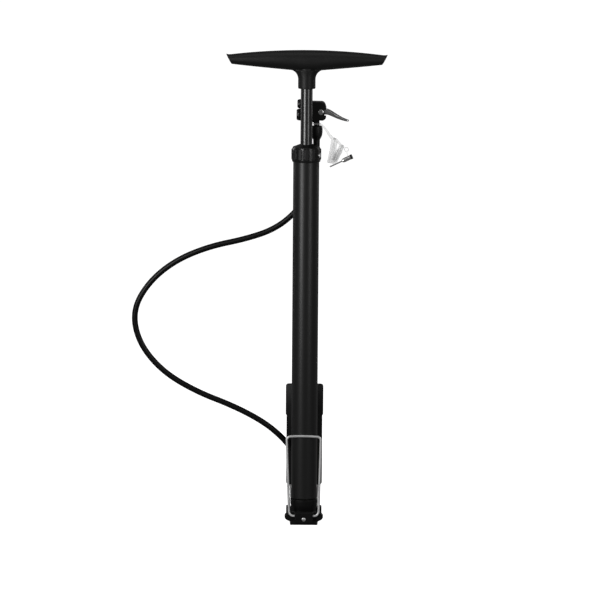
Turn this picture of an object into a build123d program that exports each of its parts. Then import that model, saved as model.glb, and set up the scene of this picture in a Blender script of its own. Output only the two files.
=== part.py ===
"""Slim floor pump for bicycle tyres.

Millimetres, +Z up along the barrel. The origin is on the floor, at the centre of the base's
underside, on the barrel's axis. The front stirrup is towards -Y, the tread plate towards +Y
and the hose loops out towards -X. The pump is drawn at the bottom of its stroke, with both
feet folded up.
"""

import os
from math import atan2, cos, degrees, pi, radians, sin, sqrt, tan

from build123d import *

# Barrel and rod
barrel_od = 35.0
barrel_wall = 1.5
barrel_foot = 33.0          # height of the barrel's lower end
barrel_length = 473.3
rod_od = 16.0
rod_wall = 2.0
rest_gap = 75.1             # rod that shows between the cap and the handle with the pump closed

# Handle
handle_length = 217.0
handle_crown = 5.2          # rise of the handle's top from its tips to its middle
grip_end_drop = 14.0        # depth of the grip below the tips' line, at the ends
grip_mid_drop = 23.6        # the same, in the middle
grip_end_depth = 9.0        # half the grip's thickness front to back, at the ends
grip_mid_depth = 14.5
stem_od = 23.5
stem_drop = 46.6            # from the tips' line down to the stem's lower face
stem_socket_depth = 21.0
handle_pin_r = 2.0

# Piston
seal_height = 6.5
seal_root_r = 11.0
ring_height = 3.7

# Cap
cap_height = 23.5
cap_od = 38.6
cap_overlap = 15.5          # how far the cap reaches down over the barrel
cap_rib_count = 13
cap_rib_width = 5.0
cap_rib_height = 15.0
cap_rib_proud = 0.7
cap_rib_phase = 2.1         # degrees right of the front
cap_screw_angle = 64.0      # degrees right of the front
cap_screw_head_r = 2.9
cap_screw_length = 8.0
clip_wall = 1.9
clip_height = 9.0
clip_mouth = 5.6
bush_length = 22.0
bumper_height = 4.0

# Base
sole_half_width = 18.4
sole_front = -25.0
sole_back = 27.0
sole_height = 4.8
bar_half_width = 26.0
bar_front = -19.5
bar_back = -6.0
bar_top = 14.6
core_half_width = 19.0
core_back = 16.0
core_top = 15.0
socket_foot_r = 16.5
socket_lip = 0.85           # how far the socket stands proud of the barrel
spigot_height = 16.0
spigot_seal_section = 2.0

# Front stirrup
stirrup_wire = 3.0
stirrup_hinge_y = -22.5
stirrup_hinge_z = 12.0
stirrup_top_half = 23.0
stirrup_foot_half = 19.8
stirrup_lean = 0.7          # how far the loop leans to the left at its top
stirrup_height = 107.5      # from the hinge to the middle of the top bar
hinge_block_half = 12.4
hinge_block_front = -27.0
hinge_block_bottom = 3.0
hinge_block_top = 17.5
hinge_screw_z = 8.0
hinge_screw_head_r = 2.6
hinge_screw_r = 1.9
pin_depth = 7.4             # how far each wire end sits in its hole

# Rear foot
rear_wire = 3.0
rear_hinge_y = 22.0
rear_hinge_z = 13.8
rear_hinge_half = 17.2
rear_leg_half = 19.2
rear_leg_drop = 4.0         # how far below the tread the legs bend towards the ears
ear_inner = 19.4
ear_outer = 24.0
ear_r = 5.8
tread_half_width = 25.4
tread_low_half = 24.2       # the same below the step
tread_step_z = 143.0
tread_bottom = 46.5
tread_top = 184.0
tread_thickness = 7.0
tread_wire_cover = 1.0      # how far the wire lies below the plate's back
tread_rib_count = 9

# Check valve and outlet
ball_r = 3.5
port_r = 2.2
seat_r = 2.6                # radius of the seat's edge, where the ball rests
chamber_r = 5.2
chamber_floor = 12.0
valve_seat_r = 7.0
valve_seat_height = 8.0
spring_wire_r = 0.35
spring_r = 2.6
spring_turns = 7
duct_r = 1.6
duct_z = 16.0
outlet_y = 24.4
outlet_boss_r = 6.4
outlet_boss_top = 20.0
nipple_thread_r = 3.5
nipple_r = 2.6
collar_r = 5.2
collar_bottom = 24.5
collar_top = 34.0

# Hose and chuck
hose_d = 8.0
sleeve_gap = 3.7            # from the cap's top to the hose's upper end
sleeve_height = 18.6
chuck_x = 13.6              # the neck's axis
chuck_y = 22.5
sleeve_r = 8.15
neck_r = 3.9
schrader_rise = 33.6        # heights above the hose's upper end, as are the next three
presta_rise = 48.2
lever_rise = 38.0
strap_rise = 20.6
schrader_valve_r = 4.1
presta_valve_r = 3.2
schrader_nut_r = 8.0
presta_nut_r = 6.4
nut_face = -13.5            # outer face of the lower gland nut
nut_back = -4.5             # where both gland nuts meet the chuck body
chuck_half_thick = 8.8
body_bore = {"schrader": 6.0, "presta": 4.4}
presta_bore_r = 3.0
grommet_back = 6.0
pocket_left = 10.5
pocket_half = 5.5
pusher_left = 11.6
boss_left = 7.2
chuck_right = 26.8
lever_pivot_x = 19.2
lever_pin_r = 1.25
lever_half_width = 5.2
lever_head_r = 4.0          # head of the pin the lever turns on
lever_head_depth = 1.0
notch_left = 23.9           # the cheeks are cut back here, where the lever comes out
cam_r = 2.6
cam_offset = 1.5
cam_lead_angle = 20.0
pusher_gap = 0.25
chuck_height = 25.4
strap_ring_height = 2.0
strap_thick = 1.5
strap_width = 3.0
adapter_y = 12.5

# Fits
running = 0.05              # radial play of a shaft in its hole
piston_play = 0.04
slip = 0.4                  # gap between faces that pass each other

front = -90.0               # direction of the pump's front about Z, in degrees
barrel_r = barrel_od / 2
bore_r = barrel_r - barrel_wall
barrel_top = barrel_foot + barrel_length
rod_r = rod_od / 2
cap_bottom = barrel_top - cap_overlap
cap_top = cap_bottom + cap_height
stem_bottom = cap_top + rest_gap
tip_z = stem_bottom + stem_drop
rod_top = stem_bottom + stem_socket_depth
spigot_top = barrel_foot + spigot_height
tread_front = outlet_y + hose_d / 2 + 1.2
tread_back = tread_front + tread_thickness
rear_leg_y = tread_back - tread_wire_cover - rear_wire / 2
cap_r = cap_od / 2
sleeve_bottom = cap_top + sleeve_gap
sleeve_top = sleeve_bottom + sleeve_height
strap_z = sleeve_bottom + strap_rise
schrader_z = sleeve_bottom + schrader_rise
presta_z = sleeve_bottom + presta_rise
lever_pivot_z = sleeve_bottom + lever_rise
chuck_bottom = schrader_z - 7.0
chuck_top = chuck_bottom + chuck_height
pocket_bottom = chuck_bottom + 2.4
pocket_top = chuck_top - 1.4
notch_bottom = lever_pivot_z - 6.4
notch_top = lever_pivot_z + 5.4


def box_between(low, high):
    """Box between two corners."""
    sides = [top - bottom for bottom, top in zip(low, high)]
    return Pos(*low) * Box(*sides, align=(Align.MIN, Align.MIN, Align.MIN))


def rod_between(radius, bottom, top):
    """Upright round bar about the Z axis."""
    return Pos(0, 0, bottom) * Cylinder(radius, top - bottom, align=(Align.CENTER, Align.CENTER, Align.MIN))


def turned(*profile):
    """Solid turned about Z from its half outline, as radius and height."""
    return revolve(Plane.XZ * make_face(Polyline(*profile, close=True)), Axis.Z)


def slab(outline, near_y, far_y):
    """Front outline in X and Z, extruded from near_y back to far_y."""
    face = Plane.XZ * make_face(Polyline(*outline, close=True))
    return extrude(Pos(0, far_y, 0) * face, amount=far_y - near_y)


def lying_along_x(solid, x, y, z, towards=1):
    """Puts a solid that was turned about Z so that its axis lies along X from (x, y, z)."""
    return Plane((x, y, z), x_dir=(0, 1, 0), z_dir=(towards, 0, 0)).location * solid


def bent_wire(radius, corners, radii):
    """Round wire along straight runs joined by arcs."""
    path = FilletPolyline(*corners, radius=radii)
    return sweep(Plane(path @ 0, z_dir=path % 0) * Circle(radius), path=path)


# ---- Barrel, cap and rod guide ----


def make_barrel():
    tube = rod_between(barrel_r, barrel_foot, barrel_top)
    tube -= rod_between(bore_r, barrel_foot - 1, barrel_top + 1)
    for angle in (cap_screw_angle, cap_screw_angle + 180):
        tube -= cap_screw_hole(angle, 1.6)
    return tube


def radial_plane(angle, radius, z):
    """Plane on the outside of the cap, facing away from the axis, angle degrees right of the front."""
    turn = radians(front + angle)
    outward = (cos(turn), sin(turn), 0)
    return Plane((radius * outward[0], radius * outward[1], z), x_dir=(0, 0, 1), z_dir=outward)


cap_screw_z = cap_bottom + 9.5


def cap_screw_hole(angle, radius):
    bar = Cylinder(radius, cap_screw_length + 0.5, align=(Align.CENTER, Align.CENTER, Align.MAX))
    return radial_plane(angle, cap_r, cap_screw_z).location * bar


def angle_between(first, second):
    return abs((first - second + 180) % 360 - 180)


def make_cap():
    skirt_r = barrel_r + running
    shell = turned(
        (skirt_r, cap_bottom),
        (cap_r - 0.5, cap_bottom),
        (cap_r, cap_bottom + 3),
        (cap_r, cap_top - 7),
        (cap_r - 1.2, cap_top - 3.6),
        (rod_r + 1.2, cap_top),
        (rod_r + slip, cap_top),
        (rod_r + slip, barrel_top),
        (skirt_r, barrel_top),
    )
    clip_angle = degrees(atan2(chuck_y, chuck_x)) - front
    rib_step = 360 / cap_rib_count
    left_out = (cap_screw_angle, cap_screw_angle + 180, clip_angle)
    rib_z = cap_bottom + 3 + cap_rib_height / 2
    for index in range(cap_rib_count):
        angle = cap_rib_phase + index * rib_step
        if min(angle_between(angle, other) for other in left_out) < rib_step / 2:
            continue
        rib = extrude(SlotOverall(cap_rib_height, cap_rib_width), amount=cap_rib_proud + 1)
        shell += radial_plane(angle, cap_r - 1, rib_z).location * rib
    for angle in (cap_screw_angle, cap_screw_angle + 180):
        pad = Cylinder(cap_screw_head_r + 1, 2, align=(Align.CENTER, Align.CENTER, Align.MAX))
        shell += radial_plane(angle, cap_r + 0.2, cap_screw_z).location * pad
        shell -= cap_screw_hole(angle, 1.6)
        seat = Cylinder(cap_screw_head_r + 0.2, 2, align=(Align.CENTER, Align.CENTER, Align.MIN))
        shell -= radial_plane(angle, cap_r, cap_screw_z).location * seat
    return shell + make_clip()


def make_clip():
    """Snap clip for the hose, standing off the back of the cap and open to the outside."""
    reach = sqrt(chuck_x**2 + chuck_y**2)
    turn = degrees(atan2(chuck_y, chuck_x))
    bottom = cap_bottom + 5
    inner = hose_d / 2 + 0.1
    ring = rod_between(inner + clip_wall, bottom, bottom + clip_height)
    web_start = barrel_r + running + 0.6 - reach
    ring += box_between((web_start, -2.5, bottom), (-inner - 0.2, 2.5, bottom + clip_height))
    ring -= rod_between(inner, bottom - 1, bottom + clip_height + 1)
    mouth = box_between(
        (0, -clip_mouth / 2, bottom - 1),
        (inner + clip_wall + 1, clip_mouth / 2, bottom + clip_height + 1),
    )
    return Rot(0, 0, turn) * (Pos(reach, 0, 0) * (ring - mouth))


def make_cap_screws():
    screws = []
    for angle in (cap_screw_angle, cap_screw_angle + 180):
        head = Cylinder(cap_screw_head_r, 1.7, align=(Align.CENTER, Align.CENTER, Align.MIN))
        shank = Cylinder(1.5, cap_screw_length, align=(Align.CENTER, Align.CENTER, Align.MAX))
        cross = Pos(0, 0, 1.0) * Box(3.6, 0.7, 1.6, align=(Align.CENTER, Align.CENTER, Align.MIN))
        cross += Pos(0, 0, 1.0) * Box(0.7, 3.6, 1.6, align=(Align.CENTER, Align.CENTER, Align.MIN))
        screws.append(radial_plane(angle, cap_r, cap_screw_z).location * (head + shank - cross))
    return Compound(screws)


def make_rod_bush():
    bush = turned(
        (rod_r + running, barrel_top - bush_length),
        (bore_r - running, barrel_top - bush_length),
        (bore_r - running, barrel_top),
        (rod_r + running, barrel_top),
    )
    for angle in (cap_screw_angle, cap_screw_angle + 180):
        bush -= cap_screw_hole(angle, 1.52)
    return bush


def make_top_bumper():
    top = barrel_top - bush_length
    bumper = rod_between(bore_r - 0.5, top - bumper_height, top)
    return bumper - rod_between(rod_r + 0.3, top - bumper_height - 1, top + 1)


# ---- Rod, piston and handle ----

piston_bottom = spigot_top + 0.5
seal_bottom = piston_bottom + ring_height
ring_bottom = seal_bottom + seal_height + 0.3
piston_top = ring_bottom + ring_height


def make_rod():
    rod = rod_between(rod_r - 0.01, piston_top, rod_top)
    rod -= rod_between(rod_r - rod_wall, piston_top - 1, rod_top + 1)
    return rod - handle_pin_bar(handle_pin_r)


handle_pin_z = stem_bottom + 9.0


def handle_pin_bar(radius):
    """Cross pin, driven in from the back of the stem and stopping short of its front."""
    bar = Cylinder(radius, stem_od - 2.5, align=(Align.CENTER, Align.CENTER, Align.MIN))
    return Plane((0, stem_od / 2 - 0.3, handle_pin_z), x_dir=(1, 0, 0), z_dir=(0, -1, 0)).location * bar


def make_piston():
    core = turned(
        (0, piston_bottom),
        (bore_r - 0.4, piston_bottom),
        (bore_r - 0.4, seal_bottom - 0.2),
        (seal_root_r - 0.1, seal_bottom - 0.2),
        (seal_root_r - 0.1, ring_bottom - 0.01),
        (rod_r - 0.22, ring_bottom - 0.01),
        (rod_r - 0.22, piston_top),
        (rod_r - rod_wall - 0.02, piston_top),
        (rod_r - rod_wall - 0.02, piston_top + 12),
        (0, piston_top + 12),
    )
    return core


def make_piston_ring():
    """Backing ring that the rod's end clamps down on the seal."""
    return turned(
        (rod_r - 0.2, ring_bottom),
        (bore_r - 0.4, ring_bottom),
        (bore_r - 0.4, piston_top),
        (rod_r - 0.2, piston_top),
    )


def make_piston_seal():
    """Rubber cup: its lip presses outwards on the way down and lets air past on the way up."""
    return turned(
        (seal_root_r, seal_bottom),
        (bore_r - 2.2, seal_bottom),
        (bore_r - 1.6, seal_bottom + 2.4),
        (bore_r - 1.2, seal_bottom),
        (bore_r - piston_play, seal_bottom),
        (bore_r - piston_play, seal_bottom + seal_height - 1.2),
        (bore_r - 1.2, seal_bottom + seal_height),
        (seal_root_r, seal_bottom + seal_height),
    )


def grip_section(x):
    """Oval section of the grip at x, from its crown, its depth and its thickness there."""
    share = abs(x) / (handle_length / 2)
    top = tip_z + handle_crown * (1 - share**2)
    bottom = tip_z - grip_mid_drop + (grip_mid_drop - grip_end_drop) * share
    depth = grip_mid_depth - (grip_mid_depth - grip_end_depth) * share**1.5
    plane = Plane((x, 0, (top + bottom) / 2), x_dir=(0, 1, 0), z_dir=(1, 0, 0))
    return plane * Ellipse(depth, (top - bottom) / 2)


def make_handle():
    half = handle_length / 2
    stations = [-half, -0.7 * half, -0.35 * half, 0, 0.35 * half, 0.7 * half, half]
    grip = loft([grip_section(x) for x in stations])
    slant = 7.5                 # the ends lean in towards the bottom
    for side in (-1, 1):
        outline = [
            (side * (half + 1), tip_z - 30),
            (side * (half + 1), tip_z + 10),
            (side * half, tip_z),
            (side * (half - slant), tip_z - grip_end_drop),
            (side * (half - slant - 3), tip_z - 30),
        ]
        grip -= slab(outline, -30, 30)
    stem_r = stem_od / 2
    stem = rod_between(stem_r, stem_bottom, tip_z - 12)
    flare_foot = stem_bottom + 13
    flare = [
        (flare_foot + rise, stem_r + spread, stem_r + 0.1 + 0.03 * rise)
        for rise, spread in ((0, 0.1), (5, 1.4), (9, 4.2), (13, 10.5), (17, 17.0))
    ]
    neck = loft([Pos(0, 0, height) * Ellipse(wide, deep) for height, wide, deep in flare])
    handle = grip + stem + neck
    handle -= rod_between(rod_r, stem_bottom - 1, rod_top)
    return handle - handle_pin_bar(handle_pin_r)


# ---- Base with its check valve and outlet ----


def make_base():
    sole = slab(
        [
            (-sole_half_width, 0),
            (-core_half_width, sole_height),
            (core_half_width, sole_height),
            (sole_half_width, 0),
        ],
        sole_front,
        sole_back,
    )
    bar = slab(
        [
            (-core_half_width, sole_height),
            (-bar_half_width + 2, 6.4),
            (-bar_half_width, 9.2),
            (-bar_half_width, 11.6),
            (-bar_half_width + 1.2, 13.6),
            (-bar_half_width + 3.6, bar_top),
            (bar_half_width - 3.6, bar_top),
            (bar_half_width - 1.2, 13.6),
            (bar_half_width, 11.6),
            (bar_half_width, 9.2),
            (bar_half_width - 2, 6.4),
            (core_half_width, sole_height),
        ],
        bar_front,
        bar_back,
    )
    core = box_between((-core_half_width, bar_front, sole_height - 1), (core_half_width, core_back, core_top))
    socket_r = barrel_r + socket_lip
    socket = turned(
        (0, core_top - 2),
        (socket_foot_r, core_top - 2),
        (socket_foot_r, core_top + 2),
        (socket_r - 0.5, core_top + 9),
        (socket_r, barrel_foot - 4),
        (socket_r, barrel_foot),
        (bore_r - running, barrel_foot),
        (bore_r - running, spigot_top - 1),
        (bore_r - running - 1, spigot_top),
        (0, spigot_top),
    )
    body = sole + bar + core + socket
    body += Pos(0, outlet_y, 0) * rod_between(outlet_boss_r, sole_height - 1, outlet_boss_top)
    body += box_between((-outlet_boss_r, 0, sole_height - 1), (outlet_boss_r, outlet_y, outlet_boss_top - 3))
    for side in (-1, 1):
        body += make_ear(side)
    body -= rod_between(chamber_r, chamber_floor, spigot_top - 1)
    body -= rod_between(valve_seat_r, spigot_top - valve_seat_height, spigot_top + 1)
    body -= seal_groove()
    duct = Cylinder(duct_r, outlet_y, align=(Align.CENTER, Align.CENTER, Align.MIN))
    body -= Plane((0, 0, duct_z), x_dir=(1, 0, 0), z_dir=(0, 1, 0)).location * duct
    body -= Pos(0, outlet_y, 0) * rod_between(nipple_thread_r, duct_z - duct_r - 1, outlet_boss_top + 1)
    return body - hinge_screw_bar(hinge_screw_r + 0.03)


def make_ear(side):
    """Lug that holds one end of the rear wire, carried on a cheek at the side of the base."""
    low, high = sorted((side * ear_inner, side * ear_outer))
    cheek_low, cheek_high = sorted((side * (core_half_width - 3), side * ear_outer))
    eye = Cylinder(ear_r, high - low, align=(Align.CENTER, Align.CENTER, Align.MIN))
    ear = lying_along_x(eye, low, rear_hinge_y, rear_hinge_z)
    ear += box_between((low, core_back - 6, rear_hinge_z - ear_r), (high, rear_hinge_y, rear_hinge_z + ear_r))
    ear += box_between(
        (cheek_low, core_back - 12, sole_height + 1),
        (cheek_high, core_back - 3, rear_hinge_z + ear_r),
    )
    hole = Cylinder(rear_wire / 2 + running, high - low + 2, align=(Align.CENTER, Align.CENTER, Align.MIN))
    return ear - lying_along_x(hole, low - 1, rear_hinge_y, rear_hinge_z)


groove_z = spigot_top - 7


def seal_groove():
    low = groove_z - spigot_seal_section / 2
    high = groove_z + spigot_seal_section / 2
    return rod_between(bore_r + 1, low, high) - rod_between(bore_r - spigot_seal_section, low - 1, high + 1)


def make_base_seal():
    low = groove_z - spigot_seal_section / 2 + 0.1
    high = groove_z + spigot_seal_section / 2 - 0.1
    outer = rod_between(bore_r - 0.01, low, high)
    return outer - rod_between(bore_r - spigot_seal_section + 0.01, low - 1, high + 1)


seat_bottom = spigot_top - valve_seat_height
ball_z = seat_bottom - sqrt(ball_r**2 - seat_r**2) - running


def make_valve_seat():
    return turned(
        (seat_r, seat_bottom),
        (valve_seat_r - 0.02, seat_bottom),
        (valve_seat_r - 0.02, spigot_top),
        (port_r + 1.5, spigot_top),
        (port_r, spigot_top - 2),
        (port_r, seat_bottom + 1),
    )


def make_valve_ball():
    return Pos(0, 0, ball_z) * Sphere(ball_r)


def make_valve_spring():
    low = chamber_floor + spring_wire_r + 0.02
    touch = sqrt((ball_r + spring_wire_r) ** 2 - spring_r**2)
    high = ball_z - touch - 0.05
    coil = Helix(pitch=(high - low) / spring_turns, height=high - low, radius=spring_r)
    wire = sweep(Plane(coil @ 0, z_dir=coil % 0) * Circle(spring_wire_r), path=coil)
    return Pos(0, 0, low) * wire


def make_outlet_nipple():
    """Brass nipple screwed into the base; the collar grips the hose on its upper end."""
    return Pos(0, outlet_y, 0) * turned(
        (duct_r, duct_z - duct_r),
        (nipple_thread_r - 0.02, duct_z - duct_r),
        (nipple_thread_r - 0.02, outlet_boss_top),
        (collar_r + 0.3, outlet_boss_top),
        (collar_r + 0.3, collar_bottom - 0.6),
        (nipple_r, collar_bottom - 0.6),
        (nipple_r, collar_top),
        (duct_r, collar_top),
    )


def make_outlet_collar():
    return Pos(0, outlet_y, 0) * turned(
        (nipple_r + 0.02, collar_bottom),
        (collar_r, collar_bottom),
        (collar_r, collar_top - 5.5),
        (collar_r - 0.5, collar_top - 5),
        (collar_r - 0.5, collar_top - 3),
        (collar_r, collar_top - 2.5),
        (collar_r, collar_top),
        (nipple_r + 0.02, collar_top),
    )


# ---- Front stirrup ----


def hinge_screw_bar(radius):
    bar = Cylinder(radius, 18, align=(Align.CENTER, Align.CENTER, Align.MIN))
    return Plane((0, hinge_block_front, hinge_screw_z), x_dir=(1, 0, 0), z_dir=(0, 1, 0)).location * bar


def make_hinge_block():
    """Small block screwed to the front of the base; it holds both ends of the stirrup."""
    block = box_between(
        (-hinge_block_half, hinge_block_front, hinge_block_bottom),
        (hinge_block_half, bar_front, hinge_block_top),
    )
    block = fillet(block.edges().filter_by(Axis.X).group_by(Axis.Y)[0], 2.0)
    block -= hinge_screw_bar(hinge_screw_r + 0.03)
    block -= box_between(
        (-hinge_block_half - 1, sole_front - slip, 0),
        (hinge_block_half + 1, bar_front + 1, sole_height + 0.02),
    )
    hole = Cylinder(
        stirrup_wire / 2 + running, pin_depth + 1.5, align=(Align.CENTER, Align.CENTER, Align.MIN)
    )
    for side in (-1, 1):
        start = side * (hinge_block_half + 1)
        block -= lying_along_x(hole, start, stirrup_hinge_y, stirrup_hinge_z, towards=-side)
    return block


def make_hinge_screw():
    head = Cylinder(hinge_screw_head_r, 1.6, align=(Align.CENTER, Align.CENTER, Align.MAX))
    slot = Pos(0, 0, -1.0) * Box(6, 0.8, 1.2, align=(Align.CENTER, Align.CENTER, Align.MAX))
    slot += Pos(0, 0, -1.0) * Box(0.8, 6, 1.2, align=(Align.CENTER, Align.CENTER, Align.MAX))
    plane = Plane((0, hinge_block_front, hinge_screw_z), x_dir=(1, 0, 0), z_dir=(0, 1, 0))
    return plane.location * (head - slot) + hinge_screw_bar(hinge_screw_r)


def make_front_stirrup():
    top_y = -(barrel_r + slip + stirrup_wire / 2)
    top_z = stirrup_hinge_z + stirrup_height
    pin_x = hinge_block_half - pin_depth
    corners = [
        (-pin_x, stirrup_hinge_y, stirrup_hinge_z),
        (-stirrup_foot_half, stirrup_hinge_y, stirrup_hinge_z),
        (-stirrup_top_half - stirrup_lean, top_y, top_z - 1.0),
        (0, top_y, top_z + 0.4),
        (stirrup_top_half - stirrup_lean, top_y, top_z - 1.0),
        (stirrup_foot_half, stirrup_hinge_y, stirrup_hinge_z),
        (pin_x, stirrup_hinge_y, stirrup_hinge_z),
    ]
    return bent_wire(stirrup_wire / 2, corners, [6.5, 5.0, 300.0, 5.0, 6.5])


# ---- Rear foot ----


def rear_corners():
    """Corners of the rear wire, from the left ear over the top of the tread to the right ear."""
    bar_z = tread_top - 7
    left = [
        (-ear_outer + 0.4, rear_hinge_y, rear_hinge_z),
        (-rear_hinge_half, rear_hinge_y, rear_hinge_z),
        (-rear_leg_half, rear_leg_y, tread_bottom - rear_leg_drop),
        (-rear_leg_half, rear_leg_y, bar_z),
    ]
    right = [(-x, y, z) for x, y, z in reversed(left)]
    return left + right


rear_bends = [1.8, 14.0, 6.0, 6.0, 14.0, 1.8]


def make_rear_wire():
    return bent_wire(rear_wire / 2, rear_corners(), rear_bends)


def make_rear_tread():
    """Moulded plate that snaps over the rear wire; its ribbed side is the one trodden on."""
    outline = [
        (-tread_low_half, tread_bottom),
        (tread_low_half, tread_bottom),
        (tread_low_half, tread_step_z - 1.2),
        (tread_half_width, tread_step_z),
        (tread_half_width, tread_top),
        (-tread_half_width, tread_top),
        (-tread_half_width, tread_step_z),
        (-tread_low_half, tread_step_z - 1.2),
    ]
    plate = slab(outline, tread_front, tread_back)
    upright = plate.edges().filter_by(Axis.Y)
    plate = fillet(upright.group_by(Axis.Z)[0] + upright.group_by(Axis.Z)[-1], 4.0)
    pitch = (tread_top - tread_bottom - 24) / (tread_rib_count - 1)
    rib_half = rear_leg_half - 3.7
    for index in range(tread_rib_count):
        z = tread_bottom + 12 + index * pitch
        plate += box_between((-rib_half, tread_front - 0.8, z - 2), (rib_half, tread_front + 1, z + 2))
    rim = 2.2
    pocket = rear_leg_half - rear_wire
    plate -= box_between(
        (-pocket, tread_front + 3, tread_bottom + rim),
        (pocket, tread_back + 1, tread_top - 12),
    )
    for index in range(1, tread_rib_count, 2):
        z = tread_bottom + 12 + index * pitch
        plate += box_between(
            (-pocket - 0.5, tread_front + 2, z - 0.9),
            (pocket + 0.5, tread_back, z + 0.9),
        )
    return plate - wire_groove(rear_wire / 2 + 0.02)


def wire_groove(half):
    """Room for the rear wire, open at the plate's back."""
    flat = [(x, z) for x, y, z in rear_corners()[2:6]]
    flat[0] = (flat[0][0], tread_bottom - 1)
    flat[-1] = (flat[-1][0], tread_bottom - 1)
    band = trace(FilletPolyline(*flat, radius=rear_bends[2]), line_width=2 * half)
    depth = tread_back - rear_leg_y + half
    return extrude(Pos(0, tread_back + 1, 0) * (Plane.XZ * band), amount=depth + 1)


# ---- Hose ----

# Route of the hose's middle, from the outlet collar round the loop and up to the chuck's sleeve.
hose_route = [
    (0.0, outlet_y, collar_top),
    (0.0, outlet_y, 55.0),
    (-8.5, outlet_y, 85.0),
    (-28.0, outlet_y, 110.5),
    (-55.0, 24.0, 133.0),
    (-96.0, 27.0, 154.0),
    (-147.0, 30.0, 173.0),
    (-193.5, 32.0, 200.5),
    (-225.0, 32.0, 239.5),
    (-233.0, 31.0, 283.0),
    (-211.5, 30.0, 322.0),
    (-175.5, 28.0, 352.0),
    (-130.0, 26.0, 371.5),
    (-80.0, 24.0, 382.5),
    (-42.0, 23.0, 396.0),
    (-14.0, chuck_y, 418.5),
    (6.0, chuck_y, 447.5),
    (chuck_x, chuck_y, sleeve_bottom - 36.0),
    (chuck_x, chuck_y, sleeve_bottom),
]


def route_radii(points):
    """Largest arc that each corner's two runs leave room for."""
    radii = []
    for before, here, after in zip(points, points[1:], points[2:]):
        into = Vector(*here) - Vector(*before)
        out = Vector(*after) - Vector(*here)
        half_turn = radians(into.get_angle(out)) / 2
        radii.append(0.45 * min(into.length, out.length) / tan(half_turn))
    return radii


def make_hose():
    radii = route_radii(hose_route)
    path = FilletPolyline(*hose_route, radius=radii)
    tube = sweep(Plane(path @ 0, z_dir=path % 0) * Circle(hose_d / 2), path=path)
    print("hose radii", [round(radius) for radius in radii])
    share = tube.volume / (path.length * pi * hose_d**2 / 4)
    print("hose length", round(path.length, 1), "volume share", round(share, 4))
    return tube


# ---- Chuck ----


def at_neck(solid):
    return Pos(chuck_x, chuck_y, 0) * solid


def make_hose_sleeve():
    """Moulded sleeve nut that holds the hose on the chuck's stem."""
    return at_neck(
        turned(
            (1.5, sleeve_bottom),
            (hose_d / 2 + 0.9, sleeve_bottom),
            (sleeve_r - 1.9, sleeve_bottom + 2.4),
            (sleeve_r - 0.5, sleeve_bottom + 6),
            (sleeve_r, sleeve_bottom + 10),
            (sleeve_r, sleeve_top - 3),
            (sleeve_r - 0.8, sleeve_top - 0.6),
            (sleeve_r - 1.6, sleeve_top),
            (neck_r - 0.9, sleeve_top),
            (neck_r - 0.9, sleeve_bottom + 3),
            (1.5, sleeve_bottom + 3),
        )
    )


def make_chuck_stem():
    """Brass stem between the sleeve and the chuck body."""
    return at_neck(
        turned(
            (1.5, sleeve_bottom + 3.1),
            (neck_r - 0.92, sleeve_bottom + 3.1),
            (neck_r - 0.92, sleeve_top),
            (neck_r, sleeve_top),
            (neck_r, chuck_bottom),
            (1.5, chuck_bottom),
        )
    )


def bore_along_x(radius, left, right, z):
    bar = Cylinder(radius, right - left, align=(Align.CENTER, Align.CENTER, Align.MIN))
    return lying_along_x(bar, left, chuck_y, z)


def make_chuck_body():
    """Twin-headed body: two gland bores on the left, the pusher's pocket, and the lever's fork."""
    outline = [
        (5, chuck_bottom + 1),
        (7, chuck_bottom),
        (chuck_right - 8.5, chuck_bottom),
        (chuck_right - 6, chuck_bottom - 0.6),
        (chuck_right - 3, chuck_bottom + 0.3),
        (chuck_right - 0.8, chuck_bottom + 3),
        (chuck_right, chuck_bottom + 6),
        (chuck_right, chuck_top - 8.4),
        (chuck_right - 1.6, chuck_top - 3.4),
        (chuck_right - 4.2, chuck_top - 0.4),
        (5, chuck_top),
    ]
    body = slab(outline, chuck_y - chuck_half_thick, chuck_y + chuck_half_thick)
    body = fillet(body.edges().filter_by(Axis.X).group_by(Axis.Z)[-1], 3.0)
    body += bore_along_x(schrader_nut_r - 0.3, nut_back, 8, schrader_z)
    body += bore_along_x(presta_nut_r - 0.2, nut_back, 8, presta_z)
    body += box_between((nut_back, chuck_y - 5, schrader_z), (8, chuck_y + 5, presta_z))
    body -= bore_along_x(body_bore["schrader"], nut_back - 1, grommet_back + 1, schrader_z)
    body -= bore_along_x(body_bore["presta"], nut_back - 1, grommet_back + 1, presta_z)
    body -= bore_along_x(body_bore["presta"], grommet_back, pocket_left + 3, schrader_z)
    body -= bore_along_x(presta_bore_r, grommet_back, pocket_left + 3, presta_z)
    body -= box_between(
        (pocket_left, chuck_y - pocket_half, pocket_bottom),
        (lever_pivot_x - 1.5, chuck_y + pocket_half, pocket_top),
    )
    body -= box_between(
        (lever_pivot_x - 2, chuck_y - pocket_half, chuck_bottom - 2),
        (chuck_right + 1, chuck_y + pocket_half, lever_pivot_z + 6.2),
    )
    body -= box_between(
        (notch_left, chuck_y - chuck_half_thick - 1, notch_bottom),
        (chuck_right + 1, chuck_y + chuck_half_thick + 1, notch_top),
    )
    body -= lever_pin_bar(lever_pin_r + 0.01, lever_head_r + 0.02)
    body -= at_neck(rod_between(1.5, chuck_bottom - 1, pocket_bottom + 1))
    return body


def lever_pin_bar(radius, head_r):
    """Riveted pin through both cheeks, its flat heads let into them by their own thickness."""
    length = 2 * chuck_half_thick
    pin = Cylinder(radius, length, align=(Align.CENTER, Align.CENTER, Align.CENTER))
    head = Cylinder(head_r, lever_head_depth, align=(Align.CENTER, Align.CENTER, Align.MAX))
    pin += Pos(0, 0, length / 2) * head
    pin += Pos(0, 0, lever_head_depth - length / 2) * head
    centre = (lever_pivot_x, chuck_y, lever_pivot_z)
    return Plane(centre, x_dir=(1, 0, 0), z_dir=(0, 1, 0)).location * pin


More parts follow.
